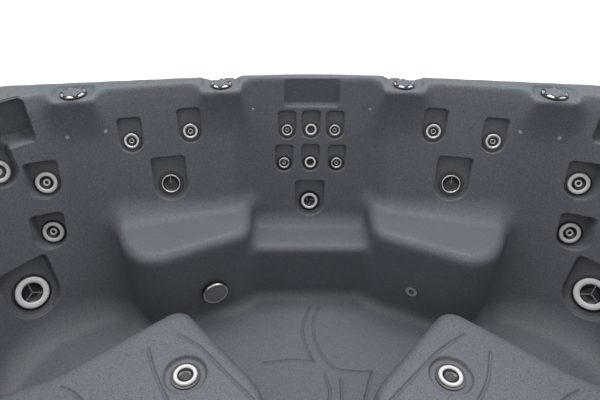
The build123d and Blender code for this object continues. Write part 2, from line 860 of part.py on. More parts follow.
# Rim knobs and their valve seats
with BuildPart() as knob_seats:
    for plane in knob_planes:
        with BuildSketch(plane):
            Circle(knob_seat_radius)
        extrude(amount=knob_seat_height)
        with BuildSketch(plane):
            Circle(knob_barrel)
        extrude(amount=-knob_barrel_length)
        with BuildSketch(plane):
            Circle(knob_spindle)
        extrude(amount=knob_spindle_height)
knob_seats.part.label = "knob_seats"
knob_names = ["right_inner_knob", "right_outer_knob", "left_inner_knob", "left_outer_knob"]
knobs = []
for name, (plane, radius) in zip(knob_names, knob_sites):
    with BuildPart() as knob:
        with BuildSketch(plane.offset(knob_seat_height + seat_gap)):
            Circle(radius)
        extrude(amount=knob_height - knob_cap_rise, taper=knob_taper)
        with BuildSketch(plane.offset(knob_seat_height + seat_gap)):
            Circle(knob_cap_radius)
        extrude(amount=knob_height)
        fillet(knob.faces().sort_by(Axis.Z)[-1].edges(), radius=knob_cap_round)
        with BuildSketch(plane.offset(knob_seat_height)):
            Circle(knob_spindle + running_gap)
        extrude(amount=knob_spindle_height - knob_seat_height + seat_gap, mode=Mode.SUBTRACT)
    knob.part.label = name
    knobs.append(knob.part)

# Suction and return fittings in the risers
with BuildPart() as suction_cover:
    with BuildSketch(suction_plane):
        Circle(suction_radius)
    extrude(amount=suction_rim_height)
    with BuildSketch(suction_plane):
        Circle(suction_radius - suction_wall)
    extrude(amount=suction_dome_height, taper=suction_taper)
    with BuildSketch(suction_plane):
        Circle(suction_radius - 2 * suction_wall)
    extrude(amount=suction_dome_height - suction_wall, taper=suction_taper, mode=Mode.SUBTRACT)
    with BuildSketch(suction_plane):
        with PolarLocations(suction_slot_ring, suction_slots):
            SlotOverall(suction_slot_length, suction_slot_width)
    extrude(amount=suction_dome_height + overrun, mode=Mode.SUBTRACT)
suction_cover.part.label = "suction_cover"


def wall_fitting(plane, barrel, bore, flange, wall_back):
    """A barrel through the wall with a nut behind it."""
    with BuildPart() as fitting:
        with BuildSketch(plane):
            Circle(barrel)
            Circle(bore, mode=Mode.SUBTRACT)
        extrude(amount=-fitting_length)
        with BuildSketch(plane.offset(-wall_back)):
            Circle(flange)
            Circle(bore, mode=Mode.SUBTRACT)
        extrude(amount=-fitting_nut)
    return fitting.part


suction_body = wall_fitting(
    suction_plane, suction_barrel, suction_barrel - suction_wall, suction_nut_radius, shell_wall
)
suction_body.label = "suction_body"
with BuildPart() as return_fitting:
    add(wall_fitting(eye_plane, eye_barrel, eye_bore, eye_nut_radius, shell_wall))
    with BuildSketch(eye_plane):
        Circle(eye_radius)
        Circle(eye_bore, mode=Mode.SUBTRACT)
    extrude(amount=fitting_flange)
return_fitting.part.label = "return_fitting"

# Skimmer housing, its floating weir, the filter and the lid
well = filter_opening - 2 * filter_ledge
well_outer = well + 2 * filter_ledge + 2 * filter_wall
well_floor = slab_bottom - filter_depth
mouth_low = mouth_z_range[0]
weir_axis_y = filter_centre[1] + well_outer / 2 + weir_back
weir_axis_z = mouth_low + weir_barrel + weir_side_gap
with BuildPart() as skimmer_housing:
    with BuildSketch(Plane.XY.offset(well_floor - filter_wall)):
        with Locations(filter_centre):
            Rectangle(well_outer, well_outer)
    extrude(amount=filter_depth + filter_wall)
    with BuildSketch(Plane.XZ.offset(-filter_centre[1])):
        with Locations((mouth_x, mouth_low + mouth_height / 2)):
            Rectangle(mouth_width + 2 * filter_wall, mouth_height + 2 * filter_wall)
    extrude(amount=-throat_share * well_outer)
    add(outer_tool, mode=Mode.SUBTRACT)
    with BuildSketch(Plane.XY.offset(well_floor)):
        with Locations(filter_centre):
            Rectangle(well, well)
    extrude(amount=filter_depth + overrun, mode=Mode.SUBTRACT)
    with BuildSketch(Plane.XZ.offset(-filter_centre[1])):
        with Locations((mouth_x, mouth_low + mouth_height / 2)):
            Rectangle(mouth_width, mouth_height)
    extrude(amount=-2 * throat_share * well_outer, mode=Mode.SUBTRACT)
    with BuildSketch(Plane.XY.offset(well_floor)):
        with Locations(filter_centre):
            Circle(cartridge_core - running_gap)
    extrude(amount=cartridge_socket)
    with BuildSketch(Plane.YZ.offset(mouth_x - mouth_width / 2 - weir_socket)):
        with Locations((weir_axis_y, weir_axis_z)):
            Circle(weir_pin + running_gap)
    extrude(amount=mouth_width + 2 * weir_socket, mode=Mode.SUBTRACT)
skimmer_housing.part.label = "skimmer_housing"
with BuildPart() as weir_door:
    half_span = mouth_width / 2 - weir_side_gap
    with BuildSketch(Plane.YZ.offset(mouth_x - half_span)):
        with Locations((weir_axis_y, weir_axis_z)):
            Circle(weir_barrel)
        with Locations((weir_axis_y, weir_axis_z + weir_height / 2)):
            Rectangle(weir_thickness, weir_height)
    extrude(amount=2 * half_span)
    with BuildSketch(Plane.YZ.offset(mouth_x - half_span - weir_pin_length)):
        with Locations((weir_axis_y, weir_axis_z)):
            Circle(weir_pin)
    extrude(amount=2 * (half_span + weir_pin_length))
weir_door.part.label = "weir_door"
with BuildPart() as filter_cartridge:
    with BuildSketch(upright_plane((*filter_centre, well_floor + seat_gap))):
        Circle(cartridge_radius)
        Circle(cartridge_core, mode=Mode.SUBTRACT)
    extrude(amount=cartridge_length)
    for low in (0, cartridge_length - cartridge_cap):
        with BuildSketch(upright_plane((*filter_centre, well_floor + seat_gap + low))):
            Circle(cartridge_radius + cartridge_cap / 2)
            Circle(cartridge_core, mode=Mode.SUBTRACT)
        extrude(amount=cartridge_cap)
filter_cartridge.part.label = "filter_cartridge"
with BuildPart() as skimmer_lid:
    with BuildSketch(upright_plane((*filter_centre, slab_bottom))):
        Rectangle(filter_opening - 2 * lid_gap, filter_opening - 2 * lid_gap)
        with Locations((0, -filter_opening / 2 + lid_notch)):
            SlotOverall(3 * lid_notch, lid_notch, mode=Mode.SUBTRACT)
    extrude(amount=lid_thickness)
skimmer_lid.part.label = "skimmer_lid"

# Control panel, its display and keys
with BuildPart() as control_panel:
    with BuildSketch(upright_plane((*panel_centre, overall_height))):
        RectangleRounded(panel_width, panel_depth, panel_corner)
    extrude(amount=panel_thickness)
    with BuildSketch(upright_plane((*panel_centre, overall_height))):
        with Locations((0, key_offset)):
            with GridLocations(key_pitch, 0, 3, 1):
                Circle(key_radius + key_hole_gap)
    extrude(amount=panel_thickness, mode=Mode.SUBTRACT)
    with BuildSketch(upright_plane((*panel_centre, overall_height + panel_thickness - display_inset))):
        with Locations((0, display_offset)):
            Rectangle(display_width, display_height)
    extrude(amount=display_inset, mode=Mode.SUBTRACT)
control_panel.part.label = "control_panel"
with BuildPart() as panel_display:
    with BuildSketch(upright_plane((*panel_centre, overall_height + panel_thickness - display_inset))):
        with Locations((0, display_offset)):
            Rectangle(display_width - seat_gap, display_height - seat_gap)
    extrude(amount=display_inset)
panel_display.part.label = "panel_display"
key_names = ["jets_key", "light_key", "heat_key"]
keys = []
for number, name in enumerate(key_names):
    key_x = panel_centre[0] + (number - 1) * key_pitch
    with BuildPart() as key:
        low = overall_height + key_travel + seat_gap
        with BuildSketch(upright_plane((key_x, panel_centre[1] + key_offset, low))):
            Circle(key_radius)
        extrude(amount=overall_height + panel_thickness + key_rise - low)
    key.part.label = name
    keys.append(key.part)

# Cabinet: pan, panels, corners and the access door
with BuildPart() as base_pan:
    with BuildSketch():
        add(outer_outline(pan_inset))
    extrude(amount=pan_floor)
    add(outline_ring(pan_inset, pan_inset + pan_wall, 0, pan_height))
base_pan.part.label = "base_pan"
panel_top = overall_height - pad_drop - shell_wall - seat_gap
band = outline_ring(panel_inset, panel_inset + panel_wall, pan_floor, panel_top)
corner_x = corner_share * half_width
corner_y = corner_share * half_length
door_low = pan_height + panel_joint
door_high = overall_height - lip_drop - panel_joint
tall = (0, overall_height)


def band_piece(x_range, y_range):
    """The stretch of the cabinet band inside a plan rectangle."""
    window = block(x_range, y_range, tall)
    with BuildPart() as piece:
        add(band)
        add(window, mode=Mode.INTERSECT)
    return piece.part


inside_x = (-corner_x + panel_joint, corner_x - panel_joint)
inside_y = (-corner_y + panel_joint, corner_y - panel_joint)
rear_panel = band_piece(inside_x, (corner_y, overall_length))
right_panel = band_piece((corner_x, overall_width), inside_y)
left_panel = band_piece((-overall_width, -corner_x), inside_y)
with BuildPart() as side_panels:
    add(right_panel)
    add(left_panel)
rear_panel.label = "rear_panel"
side_panels.part.label = "side_panels"
with BuildPart() as corner_covers:
    add(band)
    add(block(inside_x, (-overall_length, overall_length), tall), mode=Mode.SUBTRACT)
    add(block((-overall_width, overall_width), inside_y, tall), mode=Mode.SUBTRACT)
corner_covers.part.label = "corner_covers"
door_range = (-door_half_width, door_half_width)
opening_range = (-door_half_width - panel_joint, door_half_width + panel_joint)
front_drain = front_plane(drain_x, drain_height, panel_inset)
with BuildPart() as front_panel:
    add(band_piece(inside_x, (-overall_length, -corner_y)))
    add(
        block(opening_range, (-overall_length, 0), (pan_height, door_high + panel_joint)),
        mode=Mode.SUBTRACT,
    )
    with BuildSketch(front_drain.offset(overrun)):
        Circle(drain_barrel + seat_gap)
    extrude(amount=-2 * overrun, mode=Mode.SUBTRACT)
front_panel.part.label = "front_panel"
screw_planes = [
    front_plane(x, z, panel_inset)
    for x in (-door_half_width + screw_margin, door_half_width - screw_margin - post_width)
    for z in (door_low + screw_margin, door_high - screw_margin)
]
with BuildPart() as access_door:
    add(band_piece(door_range, (-overall_length, -corner_y)))
    add(block(door_range, (-overall_length, 0), (door_low, door_high)), mode=Mode.INTERSECT)
    for plane in screw_planes:
        with BuildSketch(plane.offset(overrun)):
            Circle(screw_shank + seat_gap)
        extrude(amount=-2 * overrun, mode=Mode.SUBTRACT)
access_door.part.label = "access_door"
with BuildPart() as door_screws:
    for plane in screw_planes:
        with BuildSketch(plane):
            Circle(screw_head)
        extrude(amount=screw_head_height)
        with BuildSketch(plane):
            Circle(screw_shank)
        extrude(amount=-panel_wall - screw_reach)
door_screws.part.label = "door_screws"

# Frame and foam
frame_inner = frame_inset + frame_width
post_places = []
for side_x in (-1, 1):
    for side_y in (-1, 1):
        post_places.append((side_x * post_front_share * half_width, side_y * half_length))
        post_places.append((side_x * half_width, side_y * post_side_share * half_length))
        corner_place = (side_x * corner_x, side_y * corner_y)
        post_places.append(tuple(length * post_corner_share for length in corner_place))
with BuildPart() as frame:
    with BuildSketch(Plane.XY.offset(pan_floor)):
        with Locations(*post_places[0::3]):
            Rectangle(post_width, half_length)
        with Locations(*post_places[1::3]):
            Rectangle(half_width, post_width)
        for place_x, place_y in post_places[2::3]:
            with Locations((place_x, place_y)):
                Rectangle(2 * post_width, 2 * post_width)
    extrude(amount=top_rail_height - pan_floor)
    add(
        outline_ring(frame_inset, frame_inner, pan_floor, top_rail_height),
        mode=Mode.INTERSECT,
    )
    add(outline_ring(frame_inset, frame_inner, pan_floor, pan_floor + frame_rail))
    add(outline_ring(frame_inset, frame_inner, top_rail_height, top_rail_height + top_rail))
frame.part.label = "frame"
floor_under = floor_height - shell_wall
lobe_under = overall_height - lobe_depth - shell_wall
seat_under = overall_height - centre_seat_depth - shell_wall
foam_ranges = [
    ((-0.083, 0.083), (-0.540, 0.470), floor_under),
    ((-0.150, 0.150), (0.775, 0.848), seat_under),
]
for side in sides.values():
    for x_pair, y_pair, top in (
        ((0.117, 0.283), (0.508, 0.576), floor_under),
        ((0.458, 0.650), (0.475, 0.610), floor_under),
        ((0.400, 0.640), (-0.300, 0.000), lobe_under),
    ):
        foam_ranges.append((tuple(sorted(x * side for x in x_pair)), y_pair, top))
with BuildPart() as foam_blocks:
    for x_pair, y_pair, top in foam_ranges:
        x_range = [x * half_width for x in x_pair]
        y_range = [y * half_length for y in y_pair]
        add(block(x_range, y_range, (pan_floor, top)))
foam_blocks.part.label = "foam_blocks"

# Pump: housing round the rotor, motor behind it
pump_front = Plane(origin=(pump_x, pump_y + pump_width / 2, pump_height), z_dir=(0, -1, 0))
with BuildPart() as pump_housing:
    with BuildSketch(pump_front):
        Circle(pump_radius)
    extrude(amount=pump_width)
    add(
        block(
            (pump_x - pump_port, pump_x + pump_port),
            (pump_y - pump_width / 2, pump_y + pump_width / 2),
            (pan_floor, pump_height),
        )
    )
    with BuildSketch(pump_front):
        Circle(pump_port)
    extrude(amount=-pump_port)
    with BuildSketch(Plane.YZ.offset(pump_x)):
        with Locations((pump_y, outlet_height)):
            Circle(pump_port)
    extrude(amount=pump_radius + pump_wall)
    with BuildSketch(pump_front.offset(pump_wall)):
        Circle(pump_radius - pump_wall)
    extrude(amount=pump_width - 2 * pump_wall, mode=Mode.SUBTRACT)
    with BuildSketch(pump_front.offset(-pump_port)):
        Circle(pipe_radius)
    extrude(amount=pump_port + pump_wall, mode=Mode.SUBTRACT)
    with BuildSketch(Plane.YZ.offset(pump_x)):
        with Locations((pump_y, outlet_height)):
            Circle(pipe_radius)
    extrude(amount=pump_radius + 2 * pump_wall, mode=Mode.SUBTRACT)
    with BuildSketch(pump_front):
        Circle(shaft_radius + running_gap)
    extrude(amount=pump_width, mode=Mode.SUBTRACT)
pump_housing.part.label = "pump_housing"
motor_front = pump_front.offset(pump_width)
with BuildPart() as pump_motor:
    with BuildSketch(motor_front):
        Circle(motor_radius)
    extrude(amount=motor_length)
    add(
        block(
            (pump_x - motor_foot, pump_x + motor_foot),
            (motor_front.origin.Y - motor_length, motor_front.origin.Y - motor_foot),
            (pan_floor, pump_height),
        )
    )
    with BuildSketch(motor_front):
        Circle(shaft_radius + running_gap)
    extrude(amount=shaft_reach + motor_gap, mode=Mode.SUBTRACT)
pump_motor.part.label = "pump_motor"
with BuildPart() as pump_rotor:
    with BuildSketch(pump_front.offset((pump_width - rotor_width) / 2)):
        Circle(rotor_radius)
    extrude(amount=rotor_width)
    with BuildSketch(pump_front.offset((pump_width - rotor_width) / 2)):
        Circle(shaft_radius)
    extrude(amount=(pump_width + rotor_width) / 2 + shaft_reach)
pump_rotor.part.label = "pump_rotor"

# Heater between the pump and the delivery pipe
pump_outlet_x = pump_x + pump_radius + pump_wall
with BuildPart() as heater_tube:
    for radius, ends in (
        (heater_radius, (heater_low_x, heater_low_x + 2 * heater_half_length)),
        (pipe_radius, (pump_outlet_x, heater_low_x + 2 * heater_half_length + heater_stub)),
    ):
        with BuildSketch(Plane.YZ.offset(ends[0])):
            with Locations((pump_y, outlet_height)):
                Circle(radius)
        extrude(amount=ends[1] - ends[0])
    with BuildSketch(Plane.YZ.offset(heater_low_x + heater_wall)):
        with Locations((pump_y, outlet_height)):
            Circle(heater_radius - heater_wall)
    extrude(amount=2 * (heater_half_length - heater_wall), mode=Mode.SUBTRACT)
    with BuildSketch(Plane.YZ.offset(pump_outlet_x)):
        with Locations((pump_y, outlet_height)):
            Circle(pipe_radius - pipe_wall)
    extrude(amount=overall_width / 2, mode=Mode.SUBTRACT)
heater_tube.part.label = "heater_tube"

# Pipes: from the suction fitting to the pump, from the heater to the header at the back, and the
# air line from the blower
suction_end = suction_plane.origin - suction_plane.z_dir * fitting_length
suction_turn = suction_end - suction_plane.z_dir * (pipe_bend + overrun)
suction_pipe = pipe(
    [
        suction_end, suction_turn,
        (suction_turn.X, suction_turn.Y, run_height),
        (pump_x, -half_length * rise_start_share, run_height),
        (pump_x, -half_length * rise_end_share, pump_height),
        (pump_x, pump_y + pump_width / 2 + pump_port, pump_height),
    ],
    pipe_radius, pipe_wall, pipe_bend,
)
suction_pipe.label = "suction_pipe"
feed_y = back_side(header_inset, feed_x)
heater_end = (heater_low_x + 2 * heater_half_length + heater_stub, pump_y, outlet_height)
delivery_pipe = pipe(
    [
        heater_end, (feed_x, pump_y, outlet_height),
        (feed_x, -half_length * rise_end_share, outlet_height),
        (feed_x, -half_length * rise_start_share, run_height),
        (feed_x, feed_y, run_height),
        (feed_x, feed_y, header_height - stub_drop),
    ],
    pipe_radius, pipe_wall, pipe_bend,
)
delivery_pipe.label = "delivery_pipe"
header_line = [
    (feed_x + header_overhang, back_side(header_inset, feed_x + header_overhang), header_height),
    (0, back_side(header_inset, 0), header_height),
    (header_left_x, back_side(header_inset, header_left_x), header_height),
]
stub_line = [(feed_x, feed_y, header_height), (feed_x, feed_y, header_height - stub_drop)]
eye_end = eye_plane.origin - eye_plane.z_dir * fitting_length
header_slope = (back_side(header_inset, 0) - feed_y) / feed_x
eye_way = -eye_plane.z_dir
eye_run = (back_side(header_inset, eye_end.X) - eye_end.Y) / (eye_way.Y + header_slope * eye_way.X)
eye_line = [eye_end, eye_end + eye_way * eye_run]
outside_rods = [
    rod(header_line, header_radius, pipe_bend), rod(stub_line, pipe_radius, pipe_bend),
    rod(eye_line, eye_barrel, pipe_bend),
]
inside_rods = [
    rod(header_line, header_radius - pipe_wall, pipe_bend),
    rod(stub_line, pipe_radius - pipe_wall, pipe_bend),
    rod(eye_line, eye_bore, pipe_bend),
]
with BuildPart() as water_manifold:
    for solid in outside_rods:
        add(solid)
    for solid in inside_rods:
        add(solid, mode=Mode.SUBTRACT)
    for end, way in ((header_line[0], 1), (header_line[2], -1)):
        with BuildSketch(Plane(origin=end, z_dir=(way, 0, 0))):
            Circle(header_radius)
        extrude(amount=pump_wall)
water_manifold.part.label = "water_manifold"
blower_x, blower_y = blower_centre
blower_mouth_y = blower_y + blower_radius + blower_port
air_back = back_side(air_inset, blower_x)
air_manifold = pipe(
    [
        (blower_x, blower_mouth_y, run_height), (blower_x, air_back, run_height),
        (blower_x, air_back, air_height), (0, back_side(air_inset, 0), air_height),
        (-blower_x, back_side(air_inset, blower_x), air_height),
    ],
    air_radius, pipe_wall, pipe_bend,
)
air_manifold.label = "air_manifold"

# Boxes of the equipment bay
with BuildPart() as air_blower:
    with BuildSketch(upright_plane((blower_x, blower_y, pan_floor))):
        Circle(blower_radius)
    extrude(amount=blower_height)
    add(
        block(
            (blower_x - blower_port, blower_x + blower_port), (blower_y, blower_mouth_y),
            (run_height - blower_port, run_height + blower_port),
        )
    )
air_blower.part.label = "air_blower"
with BuildPart() as control_box:
    with BuildSketch(upright_plane((*control_box_centre, pan_floor))):
        Rectangle(*control_box_size[:2])
    extrude(amount=control_box_size[2])
    fillet(control_box.edges().filter_by(Axis.Z), radius=box_round)
control_box.part.label = "control_box"
with BuildPart() as ozonator:
    with BuildSketch(upright_plane((*ozone_centre, pan_floor))):
        Rectangle(*ozone_size[:2])
    extrude(amount=ozone_size[2])
    fillet(ozonator.edges().filter_by(Axis.Z), radius=box_round)
ozonator.part.label = "ozonator"

# Drain through the front panel
with BuildPart() as drain_body:
    for radius, low, high in (
        (drain_flange, 0, drain_flange_height), (drain_barrel, -drain_length, drain_stub),
    ):
        with BuildSketch(front_drain.offset(low)):
            Circle(radius)
        extrude(amount=high - low)
    with BuildSketch(front_drain.offset(-drain_length)):
        Circle(drain_bore)
    extrude(amount=drain_length + drain_stub, mode=Mode.SUBTRACT)
drain_body.part.label = "drain_body"
with BuildPart() as drain_cap:
    with BuildSketch(front_drain.offset(drain_flange_height + seat_gap)):
        Circle(drain_cap_radius)
    extrude(amount=drain_cap_height)
    with BuildSketch(front_drain.offset(drain_flange_height)):
        Circle(drain_barrel + running_gap)
    extrude(amount=drain_stub - drain_flange_height + seat_gap, mode=Mode.SUBTRACT)
    for turn in range(drain_grips):
        angle = 2 * math.pi * turn / drain_grips
        with BuildSketch(front_drain.offset(drain_flange_height)):
            with Locations((math.cos(angle) * drain_cap_radius, math.sin(angle) * drain_cap_radius)):
                Circle(drain_grip)
        extrude(amount=drain_cap_height + overrun, mode=Mode.SUBTRACT)
drain_cap.part.label = "drain_cap"

builders = [
    tub_shell, side_panels, jet_bodies, small_jet_nozzles, point_lights, knob_seats, suction_cover,
    return_fitting, skimmer_housing, weir_door, filter_cartridge, skimmer_lid, control_panel,
    panel_display, base_pan, corner_covers, front_panel, access_door, door_screws, frame,
    foam_blocks, pump_housing, pump_motor, pump_rotor, heater_tube, water_manifold, air_blower,
    control_box, ozonator, drain_body, drain_cap,
]
pieces = [builder.part for builder in builders] + jet_inserts + knobs + keys
pieces += [
    suction_body, rear_panel, suction_pipe, delivery_pipe, air_manifold,
]
os.makedirs("parts", exist_ok=True)
for piece in pieces:
    export_step(piece, f"parts/{piece.label}.step")
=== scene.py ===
"""Hot tub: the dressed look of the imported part, seen from inside over its front edge."""

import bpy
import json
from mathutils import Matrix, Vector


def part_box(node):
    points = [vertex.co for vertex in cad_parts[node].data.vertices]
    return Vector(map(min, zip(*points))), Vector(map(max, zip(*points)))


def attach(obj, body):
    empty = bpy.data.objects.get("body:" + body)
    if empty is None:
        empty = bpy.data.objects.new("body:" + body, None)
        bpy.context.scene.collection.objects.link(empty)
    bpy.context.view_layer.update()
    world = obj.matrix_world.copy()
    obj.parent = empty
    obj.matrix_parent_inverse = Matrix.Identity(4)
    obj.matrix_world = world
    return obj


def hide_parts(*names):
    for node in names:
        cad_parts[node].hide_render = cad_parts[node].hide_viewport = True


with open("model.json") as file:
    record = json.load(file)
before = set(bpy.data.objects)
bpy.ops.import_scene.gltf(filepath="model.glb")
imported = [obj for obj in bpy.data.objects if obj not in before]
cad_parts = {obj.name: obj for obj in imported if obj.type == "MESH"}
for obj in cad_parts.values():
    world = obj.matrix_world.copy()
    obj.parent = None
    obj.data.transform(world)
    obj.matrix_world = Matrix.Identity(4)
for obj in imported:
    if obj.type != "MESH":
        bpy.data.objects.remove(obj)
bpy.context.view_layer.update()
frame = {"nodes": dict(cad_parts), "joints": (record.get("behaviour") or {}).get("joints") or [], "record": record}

import json
import logging
import math
from collections.abc import Callable
from dataclasses import dataclass, field
from enum import Enum

import bmesh
import bpy
import numpy as np
from mathutils import Matrix, Vector

logging.basicConfig(level=logging.INFO, format="%(message)s")
log = logging.getLogger("tub")
Number = float | np.ndarray
Pair = tuple[float, float]
Triple = tuple[float, float, float]
TUB = "tub"
SIDES = {"right": 1, "left": -1}
FAR = 1e9
TINY = 1e-9
STILL = 1e-6
UPRIGHT = 1e-4


class Finish(Enum):
    """Names of the record's material slots."""

    SHELL = "shell_slate"
    BLACK = "fitting_black"
    RING = "jet_ring"
    KNOB = "knob_grey"
    CABINET = "cabinet_grey"
    STEEL = "frame_steel"
    PAINT = "frame_paint"
    FOAM = "foam"
    PIPE = "pipe_grey"
    LENS = "lens"
    FILTER = "filter_white"


def link(name: str, data: bpy.types.ID) -> bpy.types.Object:
    """Makes an object and puts it in the scene.

    Args:
        name: The object's name.
        data: Its mesh, camera or lamp.

    Returns:
        The object.
    """
    made = bpy.data.objects.new(name, data)
    bpy.context.scene.collection.objects.link(made)
    log.info("piece: %s", name)
    return made


@dataclass(frozen=True)
class PhotoCamera:
    """Where the photograph was taken from, in metres, degrees and pixels of a 600 by 400 frame."""

    place: Triple = (-0.0886, -0.4478, 1.5913)
    pitch: float = 37.57
    yaw: float = -0.37
    roll: float = -0.11
    focal: float = 522.5
    width: float = 600.0
    height: float = 400.0
    shift: float = -17.8
    sensor: float = 36.0
    far_clip: float = 100.0

    def axes(self) -> tuple[Vector, Vector, Vector]:
        """Works out how the camera is turned.

        Returns:
            Its right, up and forward directions.
        """
        pitch, yaw, roll = (math.radians(a) for a in (self.pitch, self.yaw, self.roll))
        forward = Vector(
            (math.sin(yaw) * math.cos(pitch), math.cos(yaw) * math.cos(pitch), -math.sin(pitch))
        )
        right = Vector((math.cos(yaw), -math.sin(yaw), 0))
        up = right.cross(forward)
        turned_right = right * math.cos(roll) + up * math.sin(roll)
        return turned_right, up * math.cos(roll) - right * math.sin(roll), forward

    def on_level(self, pixel: Pair, height: float) -> Pair:
        """Finds where a pixel's ray meets a level surface.

        Args:
            pixel: Column and row in the photograph's frame.
            height: Height of the surface, in metres.

        Returns:
            The point in plan.
        """
        right, up, forward = self.axes()
        across = (pixel[0] - self.width / 2 - self.shift) / self.focal
        down = (pixel[1] - self.height / 2) / self.focal
        ray = forward + right * across - up * down
        reach = (height - self.place[2]) / ray.z
        return self.place[0] + ray.x * reach, self.place[1] + ray.y * reach

    def build(self) -> bpy.types.Object:
        """Makes the scene's camera.

        Returns:
            The camera.
        """
        data = bpy.data.cameras.new("photo_camera")
        data.sensor_width = self.sensor
        data.lens = self.sensor * self.focal / self.width
        data.shift_x = -self.shift / self.width
        data.clip_end = self.far_clip
        camera = link("photo_camera", data)
        right, up, forward = self.axes()
        turn = Matrix((right, up, -forward)).transposed()
        camera.matrix_world = Matrix.Translation(self.place) @ turn.to_4x4()
        bpy.context.scene.camera = camera
        return camera


def round_union(first: Number, second: Number, radius: Number) -> np.ndarray:
    """Joins two solids with a hollow round between them.

    Args:
        first: Distance to one solid.
        second: Distance to the other.
        radius: Radius of the round.

    Returns:
        Distance to both as one solid.
    """
    near = np.hypot(np.maximum(radius - first, 0), np.maximum(radius - second, 0))
    return np.maximum(radius, np.minimum(first, second)) - near


def round_cut(first: Number, second: Number, radius: Number) -> np.ndarray:
    """Takes what two solids share, with a rounded edge between them.

    Args:
        first: Distance to one solid.
        second: Distance to the other.
        radius: Radius of the edge.

    Returns:
        Distance to the shared part.
    """
    near = np.hypot(np.maximum(radius + first, 0), np.maximum(radius + second, 0))
    return np.minimum(-radius, np.maximum(first, second)) + near


def soft(share: np.ndarray) -> np.ndarray:
    """A share held between 0 and 1, with soft ends."""
    share = np.clip(share, 0, 1)
    return share * share * (3 - 2 * share)


def blur(values: np.ndarray, steps: int, axis: int) -> np.ndarray:
    """Takes a moving average along one axis, keeping the ends.

    Args:
        values: The array.
        steps: How many neighbours count on each side.
        axis: The axis it runs along.

    Returns:
        An array of the same shape.
    """
    if steps < 1:
        return values
    pads = [(0, 0)] * values.ndim
    pads[axis] = (steps, steps)
    padded = np.pad(values, pads, mode="edge")
    total = np.cumsum(padded, axis=axis, dtype=np.float64)
    zero = np.zeros_like(np.take(total, [0], axis=axis))
    total = np.concatenate([zero, total], axis=axis)
    width = 2 * steps + 1
    count = values.shape[axis]
    ahead = np.take(total, range(width, width + count), axis=axis)
    behind = np.take(total, range(count), axis=axis)
    return ((ahead - behind) / width).astype(values.dtype)


def polygon_distance(points: list[Pair], x: np.ndarray, y: np.ndarray) -> np.ndarray:
    """Measures how far places are from a closed outline in plan.

    Args:
        points: The outline's corners.
        x: The places' first coordinate.
        y: The places' second coordinate.

    Returns:
        The distances, negative inside.
    """
    best = np.full(np.broadcast(x, y).shape, FAR)
    inside = np.zeros(best.shape, bool)
    for (ax, ay), (bx, by) in zip(points, points[1:] + points[:1]):
        ex, ey = bx - ax, by - ay
        along = np.clip(((x - ax) * ex + (y - ay) * ey) / (ex * ex + ey * ey), 0, 1)
        best = np.minimum(best, np.hypot(x - ax - along * ex, y - ay - along * ey))
        crosses = (ay > y) != (by > y)
        slant = ax + (y - ay) / (by - ay if by != ay else TINY) * ex
        inside ^= crosses & (x < slant)
    return np.where(inside, -best, best)


@dataclass(frozen=True)
class Isosurface:
    """Meshes the zero level of a field on an uneven grid, one point to each crossed cell."""

    axes: tuple
    values: np.ndarray

    def mesh(self) -> tuple[np.ndarray, np.ndarray]:
        """Makes the surface.

        Returns:
            Its points and its quads, which face the positive side.
        """
        solid = self.values < 0
        shape = [n - 1 for n in self.values.shape]
        corners = [(i, j, k) for i in (0, 1) for j in (0, 1) for k in (0, 1)]
        count = np.zeros(shape, np.int8)
        for i, j, k in corners:
            count += solid[i:i + shape[0], j:j + shape[1], k:k + shape[2]]
        cells = np.argwhere((count > 0) & (count < len(corners)))
        number = np.full(shape, -1, np.int32)
        number[tuple(cells.T)] = np.arange(len(cells))
        points = self._cell_points(cells, corners)
        return points, self._quads(solid, number)

    def _cell_points(self, cells: np.ndarray, corners: list) -> np.ndarray:
        """Puts one point in each cell, at the mean of its crossed edges.

        Args:
            cells: The crossed cells' grid numbers.
            corners: Steps from a cell's first corner to each of its corners.

        Returns:
            The points, in metres.
        """
        at = {c: self.values[tuple((cells + c).T)] for c in corners}
        total = np.zeros((len(cells), 3))
        hits = np.zeros(len(cells))
        for start in corners:
            for axis in range(3):
                if start[axis]:
                    continue
                end = tuple(1 if n == axis else start[n] for n in range(3))
                first, second = at[start], at[end]
                crossed = (first < 0) != (second < 0)
                share = np.where(crossed, first / np.where(crossed, first - second, 1), 0)
                offset = np.tile(np.array(start, float), (len(cells), 1))
                offset[:, axis] = share
                total += np.where(crossed[:, None], offset, 0)
                hits += crossed
        place = cells + total / hits[:, None]
        return np.stack(
            [np.interp(place[:, n], np.arange(len(a)), a) for n, a in enumerate(self.axes)], axis=1
        )

    def _quads(self, solid: np.ndarray, number: np.ndarray) -> np.ndarray:
        """Joins the points of the four cells round each crossed edge.

        Args:
            solid: Which grid points lie inside.
            number: Each cell's point number.

        Returns:
            Rows of four point numbers.
        """
        quads = []
        for axis in range(3):
            others = [n for n in range(3) if n != axis]
            low = [slice(None)] * 3
            high = [slice(None)] * 3
            low[axis], high[axis] = slice(None, -1), slice(1, None)
            change = solid[tuple(low)].astype(np.int8) - solid[tuple(high)].astype(np.int8)
            inner = [slice(None)] * 3
            for n in others:
                inner[n] = slice(1, -1)
            where = np.argwhere(change[tuple(inner)] != 0)
            for n in others:
                where[:, n] += 1
            sign = change[tuple(where.T)]
            ring = []
            for back in ((1, 1), (0, 1), (0, 0), (1, 0)):
                cell = where.copy()
                cell[:, others[0]] -= back[0]
                cell[:, others[1]] -= back[1]
                ring.append(number[tuple(cell.T)])
            quad = np.stack(ring, axis=1)
            flip = (sign > 0) if axis != 1 else (sign < 0)
            quad[~flip] = quad[~flip][:, ::-1]
            quads.append(quad)
        return np.concatenate(quads)


